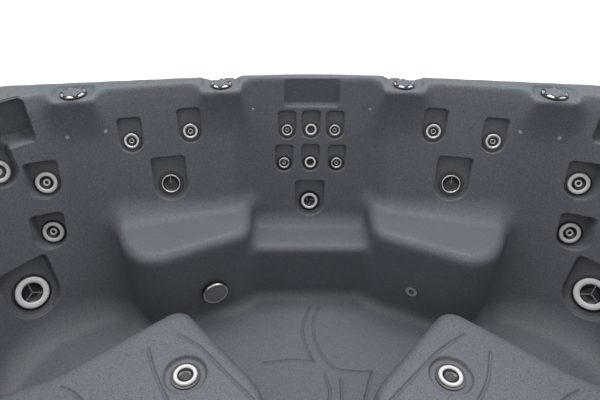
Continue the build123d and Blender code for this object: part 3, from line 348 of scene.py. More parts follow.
@dataclass(frozen=True)
class Site:
    """A place on the shell with its own axes: across, up and out into the tub."""

    origin: Vector
    across: Vector
    up: Vector
    out: Vector

    @classmethod
    def facing(cls, origin: Vector, out: Vector) -> "Site":
        """Makes a site whose own up runs up the wall as far as it can.

        Args:
            origin: Its middle.
            out: The way it faces.

        Returns:
            The site.
        """
        across = Vector((0, 0, 1)).cross(out)
        if across.length < UPRIGHT:
            across = Vector((1, 0, 0))
        across.normalize()
        return cls(origin, across, out.cross(across), out.normalized())

    def matrix(self) -> Matrix:
        """The turn and move from the site's own axes to the tub's."""
        turn = Matrix((self.across, self.up, self.out)).transposed().to_4x4()
        return Matrix.Translation(self.origin) @ turn


@dataclass(frozen=True)
class JetKind:
    """Sizes of one kind of jet and its pocket, in metres."""

    cover: float
    ring: float
    face: float
    pocket_half: float
    pocket_top: float
    pocket_corner: float = 0.010

    def outline(self, across: np.ndarray, up: np.ndarray) -> np.ndarray:
        """Measures how far places are from the pocket: a round foot under a flat top.

        Args:
            across: The places across the wall.
            up: The places up the wall.

        Returns:
            The distances, negative inside.
        """
        low = np.hypot(across, up) - self.pocket_half
        if self.pocket_top <= 0:
            return low
        sides = np.where(up < 0, low, np.abs(across) - self.pocket_half)
        return round_cut(sides, up - self.pocket_top, self.pocket_corner)


JET_KINDS = {
    "small": JetKind(0.026, 0.0195, 0.0130, 0.0270, 0.062),
    "medium": JetKind(0.038, 0.0295, 0.0200, 0.0475, 0.078),
    "upper": JetKind(0.031, 0.0255, 0.0160, 0.0340, 0.072),
    "broad": JetKind(0.042, 0.0320, 0.0260, 0.0520, 0.092),
    "corner": JetKind(0.041, 0.0350, 0.0220, 0.0440, 0.070),
    "heavy": JetKind(0.062, 0.0540, 0.0340, 0.0800, 0.106),
    "lobe": JetKind(0.040, 0.0325, 0.0215, 0.0540, 0.0),
}
PAD_TURN = 6.7
KNOB_TURNS = {
    "left_outer_knob": 270.0, "left_inner_knob": 240.0,
    "right_inner_knob": 300.0, "right_outer_knob": 285.0,
}


@dataclass
class BasinShape:
    """The moulded shell's shape: its walls, blocks and rounds, in metres."""

    half_width: float = 1.2
    half_length: float = 1.18
    rim_height: float = 0.87
    shoulder_height: float = 0.828
    floor_height: float = 0.123
    lip_bottom: float = 0.815
    sheet: float = 0.006
    bow_radius: float = 2.6
    outer_corner_radius: float = 0.11
    rim_corner_radius: float = 0.19
    foot_corner_radius: float = 0.33
    outer_corner_share: Pair = (0.900, 0.915)
    wall_fillet: float = 0.045
    low_fillet: float = 0.035
    joint_fall: float = 0.06
    tip_fillet: float = 0.07
    tip_range: Pair = (0.36, 0.62)
    scoop_joint: float = 0.08
    scoop_joint_range: Pair = (0.52, 0.63)
    floor_fillet: float = 0.035
    scoop_fillet: float = 0.08
    scoop_range: Pair = (0.50, 0.80)
    crease: float = 0.018
    rim_round: float = 0.012
    outer_round: float = 0.010
    level_shares: dict = field(default_factory=lambda: {
        "back_rim": [(0, 0.974), (0.190, 0.974), (0.203, 0.959), (0.575, 0.902), (0.846, 0.842)],
        "back_shoulder": [(0, 0.966), (0.190, 0.966), (0.203, 0.946), (0.575, 0.886), (0.842, 0.826)],
        "back_floor": [(0, 0.814), (0.194, 0.814), (0.206, 0.751), (0.542, 0.688), (0.842, 0.644)],
        "front_rim": [(0, 0.810), (0.190, 0.810), (0.214, 0.940), (0.575, 0.902), (0.846, 0.842)],
        "front_shoulder": [(0, 0.800), (0.190, 0.800), (0.214, 0.925), (0.575, 0.886), (0.842, 0.826)],
        "front_floor": [(0, 0.690), (0.200, 0.690), (0.240, 0.740), (0.542, 0.688), (0.842, 0.644)],
        "side_rim": [(0, 0.890), (0.475, 0.890), (0.842, 0.846)],
        "side_shoulder": [(0, 0.880), (0.470, 0.880), (0.826, 0.842)],
        "side_floor": [(0, 0.817), (0.339, 0.817), (0.644, 0.842)],
    })
    blocks: dict = field(default_factory=lambda: {
        "centre_seat": (0.357, [(-0.205, 1.3), (0.205, 1.3), (0.205, 0.748), (-0.205, 0.748)]),
        "mid_seat": (0.455, [(0.170, 1.3), (0.545, 1.3), (0.545, 0.740), (0.520, 0.682),
                             (0.480, 0.628), (0.425, 0.603), (0.170, 0.722)]),
        "lobe": (0.380, [(0.098, -0.360), (0.098, 0.195), (0.125, 0.288), (0.333, 0.519),
                         (0.583, 0.315), (1.3, -0.03), (1.3, -0.360)]),
        "front_seat": (0.310, [(0.098, -0.340), (1.3, -0.340), (1.3, -1.3), (0.098, -1.3)]),
        "cooling_seat": (0.455, [(-0.190, -0.560), (0.190, -0.560), (0.190, -1.3),
                                 (-0.190, -1.3)]),
    })
    block_rounds: dict = field(default_factory=lambda: {
        "centre_seat": (0.02, 0.026), "mid_seat": (0.04, 0.032), "lobe": (0.035, 0.030),
        "front_seat": (0.02, 0.04), "cooling_seat": (0.03, 0.04),
    })
    pad_half_width: float = 0.060
    pad_reach: float = 0.048
    pad_top: float = 0.855
    pad_edge: float = 0.012
    pad_slope: float = 3.2
    pad_round: float = 0.010
    pad_blend: float = 0.055
    notch_back: float = 0.038
    notch_round: float = 0.002
    notch_edge: float = 0.004

    def scaled(self, points: list[Pair]) -> list[Pair]:
        """Plan points from shares of the half width and half length."""
        return [(x * self.half_width, y * self.half_length) for x, y in points]

    def grid(self, step: float, rim_step: float) -> tuple:
        """Lays out the right half's grid, finer in height near the rim.

        Args:
            step: Distance between its points.
            rim_step: Their distance in height near the rim.

        Returns:
            The coordinates along each axis.
        """
        x = np.arange(-step, self.half_width + 2 * step, step)
        y = np.arange(-self.half_length - 2 * step, self.half_length + 2 * step, step)
        low = np.arange(self.floor_height - 3 * step, self.shoulder_height - 2 * step, step)
        high = np.arange(self.shoulder_height - 2 * step, self.rim_height + 2 * step, rim_step)
        return x, y, np.concatenate([low, high])

    def outer_points(self) -> list[Pair]:
        """Finds the bowed square's corners before its rounding.

        Returns:
            The right half's points, from the back to the front.
        """
        corner_x = self.outer_corner_share[0] * self.half_width
        corner_y = self.outer_corner_share[1] * self.half_length
        back_y, side_x = self.half_length, self.half_width
        for _ in range(20):
            back = math.atan((back_y - corner_y) / corner_x)
            side = math.atan((side_x - corner_x) / corner_y)
            back_y = self.half_length + self.bow_radius * (1 / math.cos(back) - 1)
            side_x = self.half_width + self.bow_radius * (1 / math.cos(side) - 1)
        return [(0, back_y), (corner_x, corner_y), (side_x, 0), (corner_x, -corner_y), (0, -back_y)]

    def outer_distance(self, x: np.ndarray, y: np.ndarray) -> np.ndarray:
        """Measures in plan how far places to the right are from the tub's outline.

        Args:
            x: The places' first coordinate.
            y: The places' second coordinate.

        Returns:
            The distances, negative inside.
        """
        points = self.outer_points()
        sides = []
        for (ax, ay), (bx, by) in zip(points[:-1], points[1:]):
            length = math.hypot(bx - ax, by - ay)
            sides.append(((x - ax) * (ay - by) + (y - ay) * (bx - ax)) / length)
        ends = np.maximum(sides[0], sides[3])
        turn = math.atan((points[0][1] - points[1][1]) / points[1][0])
        deep = np.abs(y) - self.half_length + self.bow_radius
        bow = np.hypot(x, deep) - self.bow_radius
        ends = np.where(np.arctan2(np.abs(x), deep) < turn, bow, ends)
        middle = np.maximum(sides[1], sides[2])
        turn = math.atan((points[2][0] - points[1][0]) / points[1][1])
        wide = x - self.half_width + self.bow_radius
        bow = np.hypot(wide, y) - self.bow_radius
        middle = np.where(np.arctan2(np.abs(y), wide) < turn, bow, middle)
        return round_cut(ends, middle, self.outer_corner_radius)

    def wall(self, name: str, along: np.ndarray, z: np.ndarray, blur_steps: int) -> np.ndarray:
        """Finds how far out one wall lies.

        Args:
            name: The wall: back, front or side.
            along: Places along the wall.
            z: Heights.
            blur_steps: Over how many places its creases are softened.

        Returns:
            The wall's distance from the middle, by place and height.
        """
        scale_along = self.half_length if name == "side" else self.half_width
        scale_out = self.half_width if name == "side" else self.half_length
        levels = []
        for level in ("rim", "shoulder", "floor"):
            table = self.level_shares[f"{name}_{level}"]
            a = [p[0] * scale_along for p in table]
            o = [p[1] * scale_out for p in table]
            slope = (o[-1] - o[-2]) / (a[-1] - a[-2])
            a.append(a[-1] + 1.0)
            o.append(o[-1] + slope)
            levels.append(np.interp(np.abs(along), a, o))
        rim, shoulder, foot = (blur(v, blur_steps, 0) for v in levels)
        rise = (z - self.shoulder_height) / (self.rim_height - self.shoulder_height)
        fall = (self.shoulder_height - z) / (self.shoulder_height - self.floor_height)
        upper = shoulder[:, None] + (rim - shoulder)[:, None] * rise[None, :]
        lower = shoulder[:, None] + (foot - shoulder)[:, None] * fall[None, :]
        return np.where(z[None, :] > self.shoulder_height, upper, lower)

    def space(self, axes: tuple, step: float) -> np.ndarray:
        """Measures how far the grid is from the hollow between the walls.

        Args:
            axes: The grid's coordinates.
            step: Distance between its points.

        Returns:
            The distances, negative inside.
        """
        x, y, z = axes
        steps = max(1, round(self.crease / step))
        back = y[None, :, None] - self.wall("back", x, z, steps)[:, None, :]
        front = -y[None, :, None] - self.wall("front", x, z, steps)[:, None, :]
        side = x[:, None, None] - self.wall("side", y, z, steps)[None, :, :]
        share = np.clip((self.rim_height - z) / (self.rim_height - self.floor_height), 0, 1)
        corner = self.rim_corner_radius + (self.foot_corner_radius - self.rim_corner_radius) * share
        return round_cut(np.maximum(back, front), side, corner[None, None, :])

    def block(self, name: str, axes: tuple, step: float) -> tuple[np.ndarray, np.ndarray]:
        """Shapes one raised block and its joint with what lies round it.

        Args:
            name: The block.
            axes: The grid's coordinates.
            step: Distance between its points.

        Returns:
            Distance to the block, and the radius of its joint.
        """
        x, y, z = axes
        top, points = self.blocks[name]
        rounding, nose = self.block_rounds[name]
        plan = polygon_distance(self.scaled(points), x[:, None], y[None, :])
        plan = blur(blur(plan, round(rounding / step), 0), round(rounding / step), 1)
        made = round_cut(plan[:, :, None], z[None, None, :] - top, nose)
        share = np.clip((z - top + self.joint_fall) / self.joint_fall, 0, 1)[None, None, :]
        if name != "mid_seat":
            return made, self.low_fillet + (self.wall_fillet - self.low_fillet) * share
        wide = np.interp(x, self.tip_range, (self.wall_fillet, self.tip_fillet))[:, None, None]
        joint = self.low_fillet + (wide - self.low_fillet) * share
        side_joint = np.interp(x, self.scoop_joint_range, (0, self.scoop_joint))
        return made, np.maximum(joint, side_joint[:, None, None])

    def with_pad(self, solid: np.ndarray, axes: tuple, site: Site) -> np.ndarray:
        """Adds a knob's pad to the wall and cuts the knob's notch into the rim.

        Args:
            solid: Distance to the shell.
            axes: The grid's coordinates.
            site: The knob's place.

        Returns:
            Distance to the shell with its pad.
        """
        x, y, z = axes
        across = (x[:, None] - site.origin.x) * site.across.x
        across = across + (y[None, :] - site.origin.y) * site.across.y
        inward = (x[:, None] - site.origin.x) * site.up.x
        inward = inward + (y[None, :] - site.origin.y) * site.up.y
        beside = np.abs(across) - self.pad_half_width
        plan = round_cut(beside, -inward - self.pad_reach, self.pad_round)
        slope = inward[:, :, None] + self.pad_reach
        under = self.pad_top - self.pad_edge - z[None, None, :] - slope * self.pad_slope
        under = under / math.hypot(1, self.pad_slope)
        pad = round_cut(plan[:, :, None], z[None, None, :] - self.pad_top, self.pad_round)
        pad = round_cut(pad, under, self.pad_round)
        solid = round_union(solid, pad, self.pad_blend)
        sides = round_cut(beside, inward - self.notch_back, self.pad_round)
        notch = round_cut(sides[:, :, None], self.pad_top - z[None, None, :], self.notch_round)
        return round_cut(solid, -notch, self.notch_edge)

    def values(self, axes: tuple, step: float, pads: list[Site]) -> np.ndarray:
        """Measures how far the grid is from the shell's material.

        Args:
            axes: The grid's coordinates.
            step: Distance between its points.
            pads: The knobs' places.

        Returns:
            The distances, negative inside.
        """
        x, y, z = axes
        foot = np.interp(x, self.scoop_range, (self.floor_fillet, self.scoop_fillet))
        above = z[None, None, :] - self.floor_height
        solid = round_union(-self.space(axes, step), above, foot[:, None, None])
        for name in self.blocks:
            made, joint = self.block(name, axes, step)
            solid = round_union(solid, made, joint)
        for site in pads:
            solid = self.with_pad(solid, axes, site)
        solid = round_cut(solid, z[None, None, :] - self.rim_height, self.rim_round)
        outer = self.outer_distance(x[:, None], y[None, :])
        return round_cut(solid, outer[:, :, None], self.outer_round)


def smooth_line(points: list[Pair], steps: int = 8) -> list[Vector]:
    """Draws a curve through points.

    Args:
        points: The points.
        steps: How many straight stretches lie between two of them.

    Returns:
        The points of the stretches.
    """
    spots = [Vector(p) for p in points]
    ends = [spots[0] * 2 - spots[1]] + spots + [spots[-1] * 2 - spots[-2]]
    line = []
    for before, start, end, after in zip(ends, ends[1:], ends[2:], ends[3:]):
        for n in range(steps):
            t = n / steps
            line.append(0.5 * (2 * start + (end - before) * t
                               + (2 * before - 5 * start + 4 * end - after) * t * t
                               + (3 * start - before - 3 * end + after) * t ** 3))
    return line + [spots[-1]]


@dataclass(frozen=True)
class Groove:
    """A shallow moulded line: its pixels in the photograph and the level it lies on."""

    pixels: tuple
    height: float
    half_width: float = 0.0060
    depth: float = 0.0055
    level_reach: float = 0.03
    refined_reach: float = 0.016

    def distance(self, camera: PhotoCamera, points: np.ndarray) -> np.ndarray:
        """Measures in plan how far points are from the line.

        Args:
            camera: The camera that saw the line.
            points: The points.

        Returns:
            The distances, and a metre for points on another level.
        """
        line = smooth_line([camera.on_level(pixel, self.height) for pixel in self.pixels])
        best = np.full(len(points), 1.0)
        for start, end in zip(line[:-1], line[1:]):
            way = end - start
            if way.length < STILL:
                continue
            offset = points[:, :2] - np.array(start)
            along = np.clip(offset @ np.array(way) / way.length_squared, 0, 1)
            best = np.minimum(best, np.linalg.norm(offset - np.outer(along, way), axis=1))
        best[np.abs(points[:, 2] - self.height) > self.level_reach] = 1.0
        return best


FLOOR_LEVEL = 0.123
LOBE_LEVEL = 0.380
GROOVES = [
    Groove(((310, 306), (303, 325), (304, 340), (313, 361)), FLOOR_LEVEL),
    Groove(((313, 361), (290, 360), (263, 363)), FLOOR_LEVEL),
    Groove(((320, 305), (313, 322), (317, 345), (332, 366), (350, 371), (372, 372)), FLOOR_LEVEL),
    Groove(((372, 372), (365, 400)), FLOOR_LEVEL),
    Groove(((325, 375), (330, 390), (328, 404)), FLOOR_LEVEL),
    Groove(((341, 380), (342, 404)), FLOOR_LEVEL),
    Groove(((178, 334), (200, 347), (228, 375), (258, 404)), LOBE_LEVEL),
    Groove(((148, 348), (152, 365), (160, 385), (170, 406)), LOBE_LEVEL),
    Groove(((60, 387), (72, 392), (84, 404)), LOBE_LEVEL),
    Groove(((465, 334), (440, 350), (415, 375), (388, 404)), LOBE_LEVEL),
    Groove(((491, 352), (488, 380), (476, 406)), LOBE_LEVEL),
    Groove(((580, 391), (568, 397), (556, 408)), LOBE_LEVEL),
]


@dataclass(frozen=True)
class Recess:
    """An empty headrest recess: its back's plane and size, in metres."""

    site: Site
    half_width: float
    half_height: float
    corner: float = 0.012

    def outline(self, across: np.ndarray, up: np.ndarray) -> np.ndarray:
        """Distance to the recess, negative inside, from places across and up the wall."""
        sides = np.abs(across) - self.half_width
        return round_cut(sides, np.abs(up) - self.half_height, self.corner)


class Surface:
    """The shell's surface as a mesh that is refined and pressed in where details are."""

    weld: float = 2e-4

    def __init__(self, points: np.ndarray, quads: np.ndarray) -> None:
        """Makes the mesh.

        Args:
            points: Its points.
            quads: Rows of four point numbers.
        """
        self.mesh = bmesh.new()
        verts = [self.mesh.verts.new(p) for p in points]
        for quad in quads:
            if len(set(quad)) == 4:
                self.mesh.faces.new([verts[n] for n in quad])
        bmesh.ops.remove_doubles(self.mesh, verts=self.mesh.verts, dist=self.weld)
        loose = [v for v in self.mesh.verts if not v.link_faces]
        bmesh.ops.delete(self.mesh, geom=loose, context="VERTS")

    def points(self) -> np.ndarray:
        """Every point's place."""
        return np.array([v.co[:] for v in self.mesh.verts])

    def centres(self) -> tuple[np.ndarray, np.ndarray]:
        """Every face's centre and normal."""
        centres = np.array([f.calc_center_median()[:] for f in self.mesh.faces])
        return centres, np.array([f.normal[:] for f in self.mesh.faces])

    def refine(self, chosen: np.ndarray, cuts: int) -> None:
        """Divides faces.

        Args:
            chosen: Which faces are divided.
            cuts: How many cuts each edge gets.
        """
        self.mesh.faces.ensure_lookup_table()
        edges = {e for n in np.nonzero(chosen)[0] for e in self.mesh.faces[n].edges}
        bmesh.ops.subdivide_edges(self.mesh, edges=list(edges), cuts=cuts, use_grid_fill=True)
        self.mesh.normal_update()

    def local(self, points: np.ndarray, site: Site) -> tuple:
        """Points in a site's own across, up and out."""
        offset = points - np.array(site.origin)
        return tuple(offset @ np.array(way) for way in (site.across, site.up, site.out))

    def move(self, offsets: np.ndarray) -> None:
        """Moves every point whose offset isn't nothing."""
        self.mesh.verts.ensure_lookup_table()
        for n in np.nonzero(np.abs(offsets).max(axis=1) > STILL)[0]:
            self.mesh.verts[n].co += Vector(offsets[n])
        self.mesh.normal_update()

    def press(self, site: Site, outline: Callable, reach: float, edge: float) -> None:
        """Moves the points inside an outline back to the site's plane.

        Args:
            site: The pressed floor's plane.
            outline: Distance to the outline from across and up.
            reach: How far in front of the plane the surface is taken.
            edge: Width of the rounded side.
        """
        across, up, out = self.local(self.points(), site)
        mask = 1 - soft(outline(across, up) / edge)
        mask[(np.abs(out) > reach) | (out < 0)] = 0
        self.move(-np.outer(out * mask, np.array(site.out)))

    def score(self, groove: Groove, camera: PhotoCamera) -> None:
        """Presses a groove down into the surface.

        Args:
            groove: The groove.
            camera: The camera that saw it.
        """
        drop = groove.depth * (1 - soft(groove.distance(camera, self.points()) / groove.half_width))
        self.move(np.outer(-drop, (0.0, 0.0, 1.0)))


@dataclass
class TubShell:
    """Builds the moulded shell with its pockets, recesses and grooves."""

    shape: BasinShape
    camera: PhotoCamera
    step: float = 0.011
    rim_step: float = 0.006
    middle_share: float = 0.25
    side_inset: float = 0.02
    side_round: float = 0.005
    refined_share: float = 3
    cuts: int = 3
    back_facing: float = -0.1
    level_facing: float = 0.5
    press_reach: float = 0.12
    recess_refined: float = 0.08
    recess_reach: float = 0.09
    recess_half_width: float = 0.088
    recess_top: float = 0.862
    centre_recess_bottom: float = 0.777
    centre_recess_place: Pair = (0.0, 1.1257)
    centre_recess_back: float = 0.024
    corner_recess_bottom: float = 0.742
    corner_recess_place: Pair = (0.965, 0.945)
    corner_recess_back: float = 0.042
    corner_recess_turn: float = 32.0

    def recesses(self) -> list[Recess]:
        """Places the three empty headrest recesses.

        Returns:
            The recesses, the middle one first.
        """
        made = []
        rows = [(self.centre_recess_place, 0.0, self.centre_recess_back,
                 self.centre_recess_bottom, 1)]
        for side in SIDES.values():
            rows.append((self.corner_recess_place, self.corner_recess_turn,
                         self.corner_recess_back, self.corner_recess_bottom, side))
        for (x, y), degrees, back, bottom, side in rows:
            turn = math.radians(degrees)
            way = Vector((math.sin(turn) * side, math.cos(turn), 0))
            middle = (self.recess_top + bottom) / 2
            origin = Vector((x * side, y, middle)) + way * back
            site = Site.facing(origin, -way)
            made.append(Recess(site, self.recess_half_width, (self.recess_top - bottom) / 2))
        return made

    def base(self, pads: list[Site]) -> Surface:
        """Makes the plain surface: basin, rim and the outside of the lip.

        Args:
            pads: The knobs' places.

        Returns:
            The surface.
        """
        axes = self.shape.grid(self.step, self.rim_step)
        points, quads = Isosurface(axes, self.shape.values(axes, self.step, pads)).mesh()
        points[points[:, 0] < self.step * self.middle_share, 0] = 0
        middle = points[quads].mean(axis=1)
        outer = self.shape.outer_distance(middle[:, 0], middle[:, 1])
        quads = quads[(outer < -self.side_inset) | (middle[:, 2] > self.shape.lip_bottom)]
        mirrored = points * np.array([-1, 1, 1])
        both = np.concatenate([points, mirrored])
        faces = np.concatenate([quads, quads[:, ::-1] + len(points)])
        return Surface(both, faces)

    def detailed(self, surface: Surface, jets: list) -> np.ndarray:
        """Finds the faces that carry detail.

        Args:
            surface: The plain surface.
            jets: Each jet's site and kind.

        Returns:
            Which faces are refined.
        """
        centres, normals = surface.centres()
        chosen = np.zeros(len(centres), bool)
        edge = self.refined_share * self.side_round
        for site, kind in jets:
            across, up, out = surface.local(centres, site)
            facing_out = normals @ np.array(site.out) > self.back_facing
            near = kind.outline(across, up) < edge
            chosen |= near & (np.abs(out) < self.press_reach) & facing_out
        for recess in self.recesses():
            across, up, out = surface.local(centres, recess.site)
            chosen |= (recess.outline(across, up) < edge) & (np.abs(out) < self.recess_refined)
        for groove in GROOVES:
            near = groove.distance(self.camera, centres) < groove.refined_reach
            chosen |= near & (normals[:, 2] > self.level_facing)
        return chosen

    def build(self, jets: list, pads: list[Site]) -> bpy.types.Object:
        """Makes the shell and lets it stand for its CAD node.

        Args:
            jets: Each jet's site and kind.
            pads: The knobs' places.

        Returns:
            The shell.
        """
        surface = self.base(pads)
        log.info("shell base: %d faces", len(surface.mesh.faces))
        surface.refine(self.detailed(surface, jets), self.cuts)
        log.info("shell refined: %d faces", len(surface.mesh.faces))
        for recess in self.recesses():
            surface.press(recess.site, recess.outline, self.recess_reach, self.side_round)
        for site, kind in jets:
            surface.press(site, kind.outline, self.press_reach, self.side_round)
        for groove in GROOVES:
            surface.score(groove, self.camera)
        data = bpy.data.meshes.new("moulded_shell")
        surface.mesh.to_mesh(data)
        surface.mesh.free()
        data.polygons.foreach_set("use_smooth", [True] * len(data.polygons))
        shell = link("moulded_shell", data)
        skin = shell.modifiers.new("sheet", "SOLIDIFY")
        skin.thickness = self.shape.sheet
        skin.offset = -1
        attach(shell, TUB)
        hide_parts("tub_shell")
        return shell


@dataclass(frozen=True)
class ShaderTree:
    """A short way to add shader nodes to a tree and to join them."""

    tree: bpy.types.NodeTree

    def add(self, kind: str, settings: dict | None = None, **inputs: object) -> bpy.types.Node:
        """Adds a node.

        Args:
            kind: The node's type without its common beginning.
            settings: Its own options, by name.
            inputs: Values or sockets for its inputs, with _ for a space.

        Returns:
            The new node.
        """
        node = self.tree.nodes.new("ShaderNode" + kind)
        for name, value in (settings or {}).items():
            setattr(node, name, value)
        for name, value in inputs.items():
            self.put(node.inputs[name.replace("_", " ")], value)
        return node

    def put(self, socket: bpy.types.NodeSocket, value: object) -> None:
        """Joins a socket to another one, or gives it a plain value.

        Args:
            socket: The socket that takes it.
            value: The other socket, or the value.
        """
        if isinstance(value, bpy.types.NodeSocket):
            self.tree.links.new(value, socket)
        else:
            socket.default_value = value

    def math(self, operation: str, *values: object) -> bpy.types.NodeSocket:
        """Adds a sum.

        Args:
            operation: Its kind.
            values: Values or sockets, in the order of its inputs.

        Returns:
            Its result.
        """
        node = self.add("Math", {"operation": operation})
        for socket, value in zip(node.inputs, values):
            self.put(socket, value)
        return node.outputs[0]

    def mix(self, share: object, first: object, second: object) -> bpy.types.NodeSocket:
        """Adds a mix of two colours.

        Args:
            share: How much of the second one it takes.
            first: One colour.
            second: The other colour.

        Returns:
            The mixed colour.
        """
        node = self.tree.nodes.new("ShaderNodeMix")
        node.data_type = "RGBA"
        for number, value in ((0, share), (6, first), (7, second)):
            self.put(node.inputs[number], value)
        return node.outputs[2]

    def noise(self, place: object, scale: float, detail: float = 2.0) -> bpy.types.NodeSocket:
        """Noise in the tub's own frame, with a size given as waves in a metre."""
        return self.add("TexNoise", None, Vector=place, Scale=scale, Detail=detail).outputs[0]

    def step(self, value: object, low: float, high: float) -> bpy.types.NodeSocket:
        """Adds a soft step.

        Args:
            value: What it follows.
            low: Where it is zero.
            high: Where it is one.

        Returns:
            The step.
        """
        node = self.add("MapRange", {"interpolation_type": "SMOOTHSTEP"}, Value=value)
        node.inputs["From Min"].default_value = low
        node.inputs["From Max"].default_value = high
        return node.outputs[0]


@dataclass
class SharedGroups:
    """Node groups that several finishes use, each made once. Noise sizes are waves in a metre."""

    dark_waves: float = 420.0
    light_waves: float = 310.0
    slow_waves: float = 5.0
    fleck_detail: float = 3.0
    dark_range: Pair = (0.50, 0.66)
    light_range: Pair = (0.56, 0.72)
    slow_range: Pair = (0.30, 0.75)
    slow_shade: float = 0.93
    wear_waves: float = 14.0
    bump_strength: float = 0.35
    flecks: bpy.types.NodeTree = field(init=False)
    wear: bpy.types.NodeTree = field(init=False)

    def __post_init__(self) -> None:
        """Makes both groups."""
        self.flecks = self._flecks()
        self.wear = self._wear()

    def _group(self, name: str, inputs: dict, outputs: dict) -> tuple:
        """Makes an empty group.

        Args:
            name: The group's name.
            inputs: The kind of each input, by name.
            outputs: The kind of each output, by name.

        Returns:
            The group, its tree, and its input and output nodes.
        """
        group = bpy.data.node_groups.new(name, "ShaderNodeTree")
        for direction, sockets in (("INPUT", inputs), ("OUTPUT", outputs)):
            for label, kind in sockets.items():
                group.interface.new_socket(label, in_out=direction, socket_type="NodeSocket" + kind)
        entry = group.nodes.new("NodeGroupInput").outputs
        leave = group.nodes.new("NodeGroupOutput").inputs
        return group, ShaderTree(group), entry, leave

    def _flecks(self) -> bpy.types.NodeTree:
        """Colours a moulded plastic with fine dark and light flecks and slow mottling.

        Returns:
            The group.
        """
        group, tree, entry, leave = self._group(
            "flecked_colour",
            {"Place": "Vector", "Colour": "Color", "Dark": "Color", "Light": "Color",
             "Amount": "Float"},
            {"Colour": "Color", "Grain": "Float"},
        )
        place = entry["Place"]
        fine = tree.noise(place, self.dark_waves, self.fleck_detail)
        coarse = tree.noise(place, self.light_waves, self.fleck_detail)
        dark = tree.math("MULTIPLY", tree.step(fine, *self.dark_range), entry["Amount"])
        light = tree.math("MULTIPLY", tree.step(coarse, *self.light_range), entry["Amount"])
        slow = tree.step(tree.noise(place, self.slow_waves), *self.slow_range)
        tint = tree.add("HueSaturation", None, Color=entry["Colour"], Value=self.slow_shade)
        base = tree.mix(slow, entry["Colour"], tint.outputs[0])
        base = tree.mix(dark, base, entry["Dark"])
        tree.put(leave["Colour"], tree.mix(light, base, entry["Light"]))
        tree.put(leave["Grain"], fine)
        return group

    def _wear(self) -> bpy.types.NodeTree:
        """Gives a roughness with slow changes and a fine bumped normal.

        Returns:
            The group.
        """
        group, tree, entry, leave = self._group(
            "surface_wear",
            {"Place": "Vector", "Roughness": "Float", "Change": "Float", "Scale": "Float",
             "Height": "Float"},
            {"Roughness": "Float", "Normal": "Vector"},
        )
        slow = tree.noise(entry["Place"], self.wear_waves)
        change = tree.math("MULTIPLY_ADD", slow, entry["Change"], entry["Roughness"])
        fine = tree.add("TexNoise", None, Vector=entry["Place"], Scale=entry["Scale"])
        bump = tree.add("Bump", None, Strength=self.bump_strength, Distance=entry["Height"],
                        Height=fine.outputs[0])
        tree.put(leave["Roughness"], change)
        tree.put(leave["Normal"], bump.outputs[0])
        return group


@dataclass(frozen=True)
class Coating:
    """A finish's look: colour, shine and grain. Flecks and boards are left out when zero."""

    colour: Triple
    roughness: float
    metallic: float = 0.0
    coat: float = 0.0
    coat_roughness: float = 0.05
    flecks: float = 0.0
    dark: Triple = (0.0, 0.0, 0.0)
    light: Triple = (1.0, 1.0, 1.0)
    change: float = 0.06
    grain_scale: float = 600.0
    grain_height: float = 0.0002
    board_width: float = 0.0
    board_shade: float = 0.72
    board_joint: Pair = (0.05, 0.02)
    transmission: float = 0.0

    def build(self, name: str, groups: SharedGroups) -> bpy.types.Material:
        """Makes the material.

        Args:
            name: The material's name.
            groups: The shared node groups.

        Returns:
            The material.
        """
        material = bpy.data.materials.new(name)
        material.use_nodes = True
        tree = ShaderTree(material.node_tree)
        shader = material.node_tree.nodes["Principled BSDF"].inputs
        place = tree.add("TexCoord").outputs["Object"]
        colour = tree.add("RGB").outputs[0]
        colour.default_value = (*self.colour, 1.0)
        if self.flecks:
            flecked = tree.add("Group", {"node_tree": groups.flecks}, Place=place, Colour=colour)
            flecked.inputs["Dark"].default_value = (*self.dark, 1.0)
            flecked.inputs["Light"].default_value = (*self.light, 1.0)
            flecked.inputs["Amount"].default_value = self.flecks
            colour = flecked.outputs["Colour"]
        if self.board_width:
            colour = self._boards(tree, place, colour)
        wear = tree.add("Group", {"node_tree": groups.wear}, Place=place)
        for label, value in (("Roughness", self.roughness), ("Change", self.change),
                             ("Scale", self.grain_scale), ("Height", self.grain_height)):
            wear.inputs[label].default_value = value
        tree.put(shader["Base Color"], colour)
        tree.put(shader["Roughness"], wear.outputs["Roughness"])
        tree.put(shader["Normal"], wear.outputs["Normal"])
        shader["Metallic"].default_value = self.metallic
        shader["Coat Weight"].default_value = self.coat
        shader["Coat Roughness"].default_value = self.coat_roughness
        shader["Transmission Weight"].default_value = self.transmission
        log.info("material: %s", name)
        return material

    def _boards(self, tree: ShaderTree, place: bpy.types.NodeSocket,
                colour: bpy.types.NodeSocket) -> bpy.types.NodeSocket:
        """Darkens thin upright joints and gives each board its own shade.

        Args:
            tree: The material's tree.
            place: The place on the object.
            colour: The colour so far.

        Returns:
            The new colour.
        """
        axes = tree.add("SeparateXYZ", None, Vector=place).outputs
        count = tree.math("DIVIDE", tree.math("ADD", axes["X"], axes["Y"]), self.board_width)
        board = tree.math("FLOOR", count)
        shade = tree.add("TexWhiteNoise", {"noise_dimensions": "1D"}, W=board)
        joint = tree.step(tree.math("FRACT", count), *self.board_joint)
        darker = tree.add("HueSaturation", None, Color=colour, Value=self.board_shade)
        colour = tree.mix(shade.outputs[0], colour, darker.outputs[0])
        return tree.mix(joint, colour, (*self.dark, 1.0))


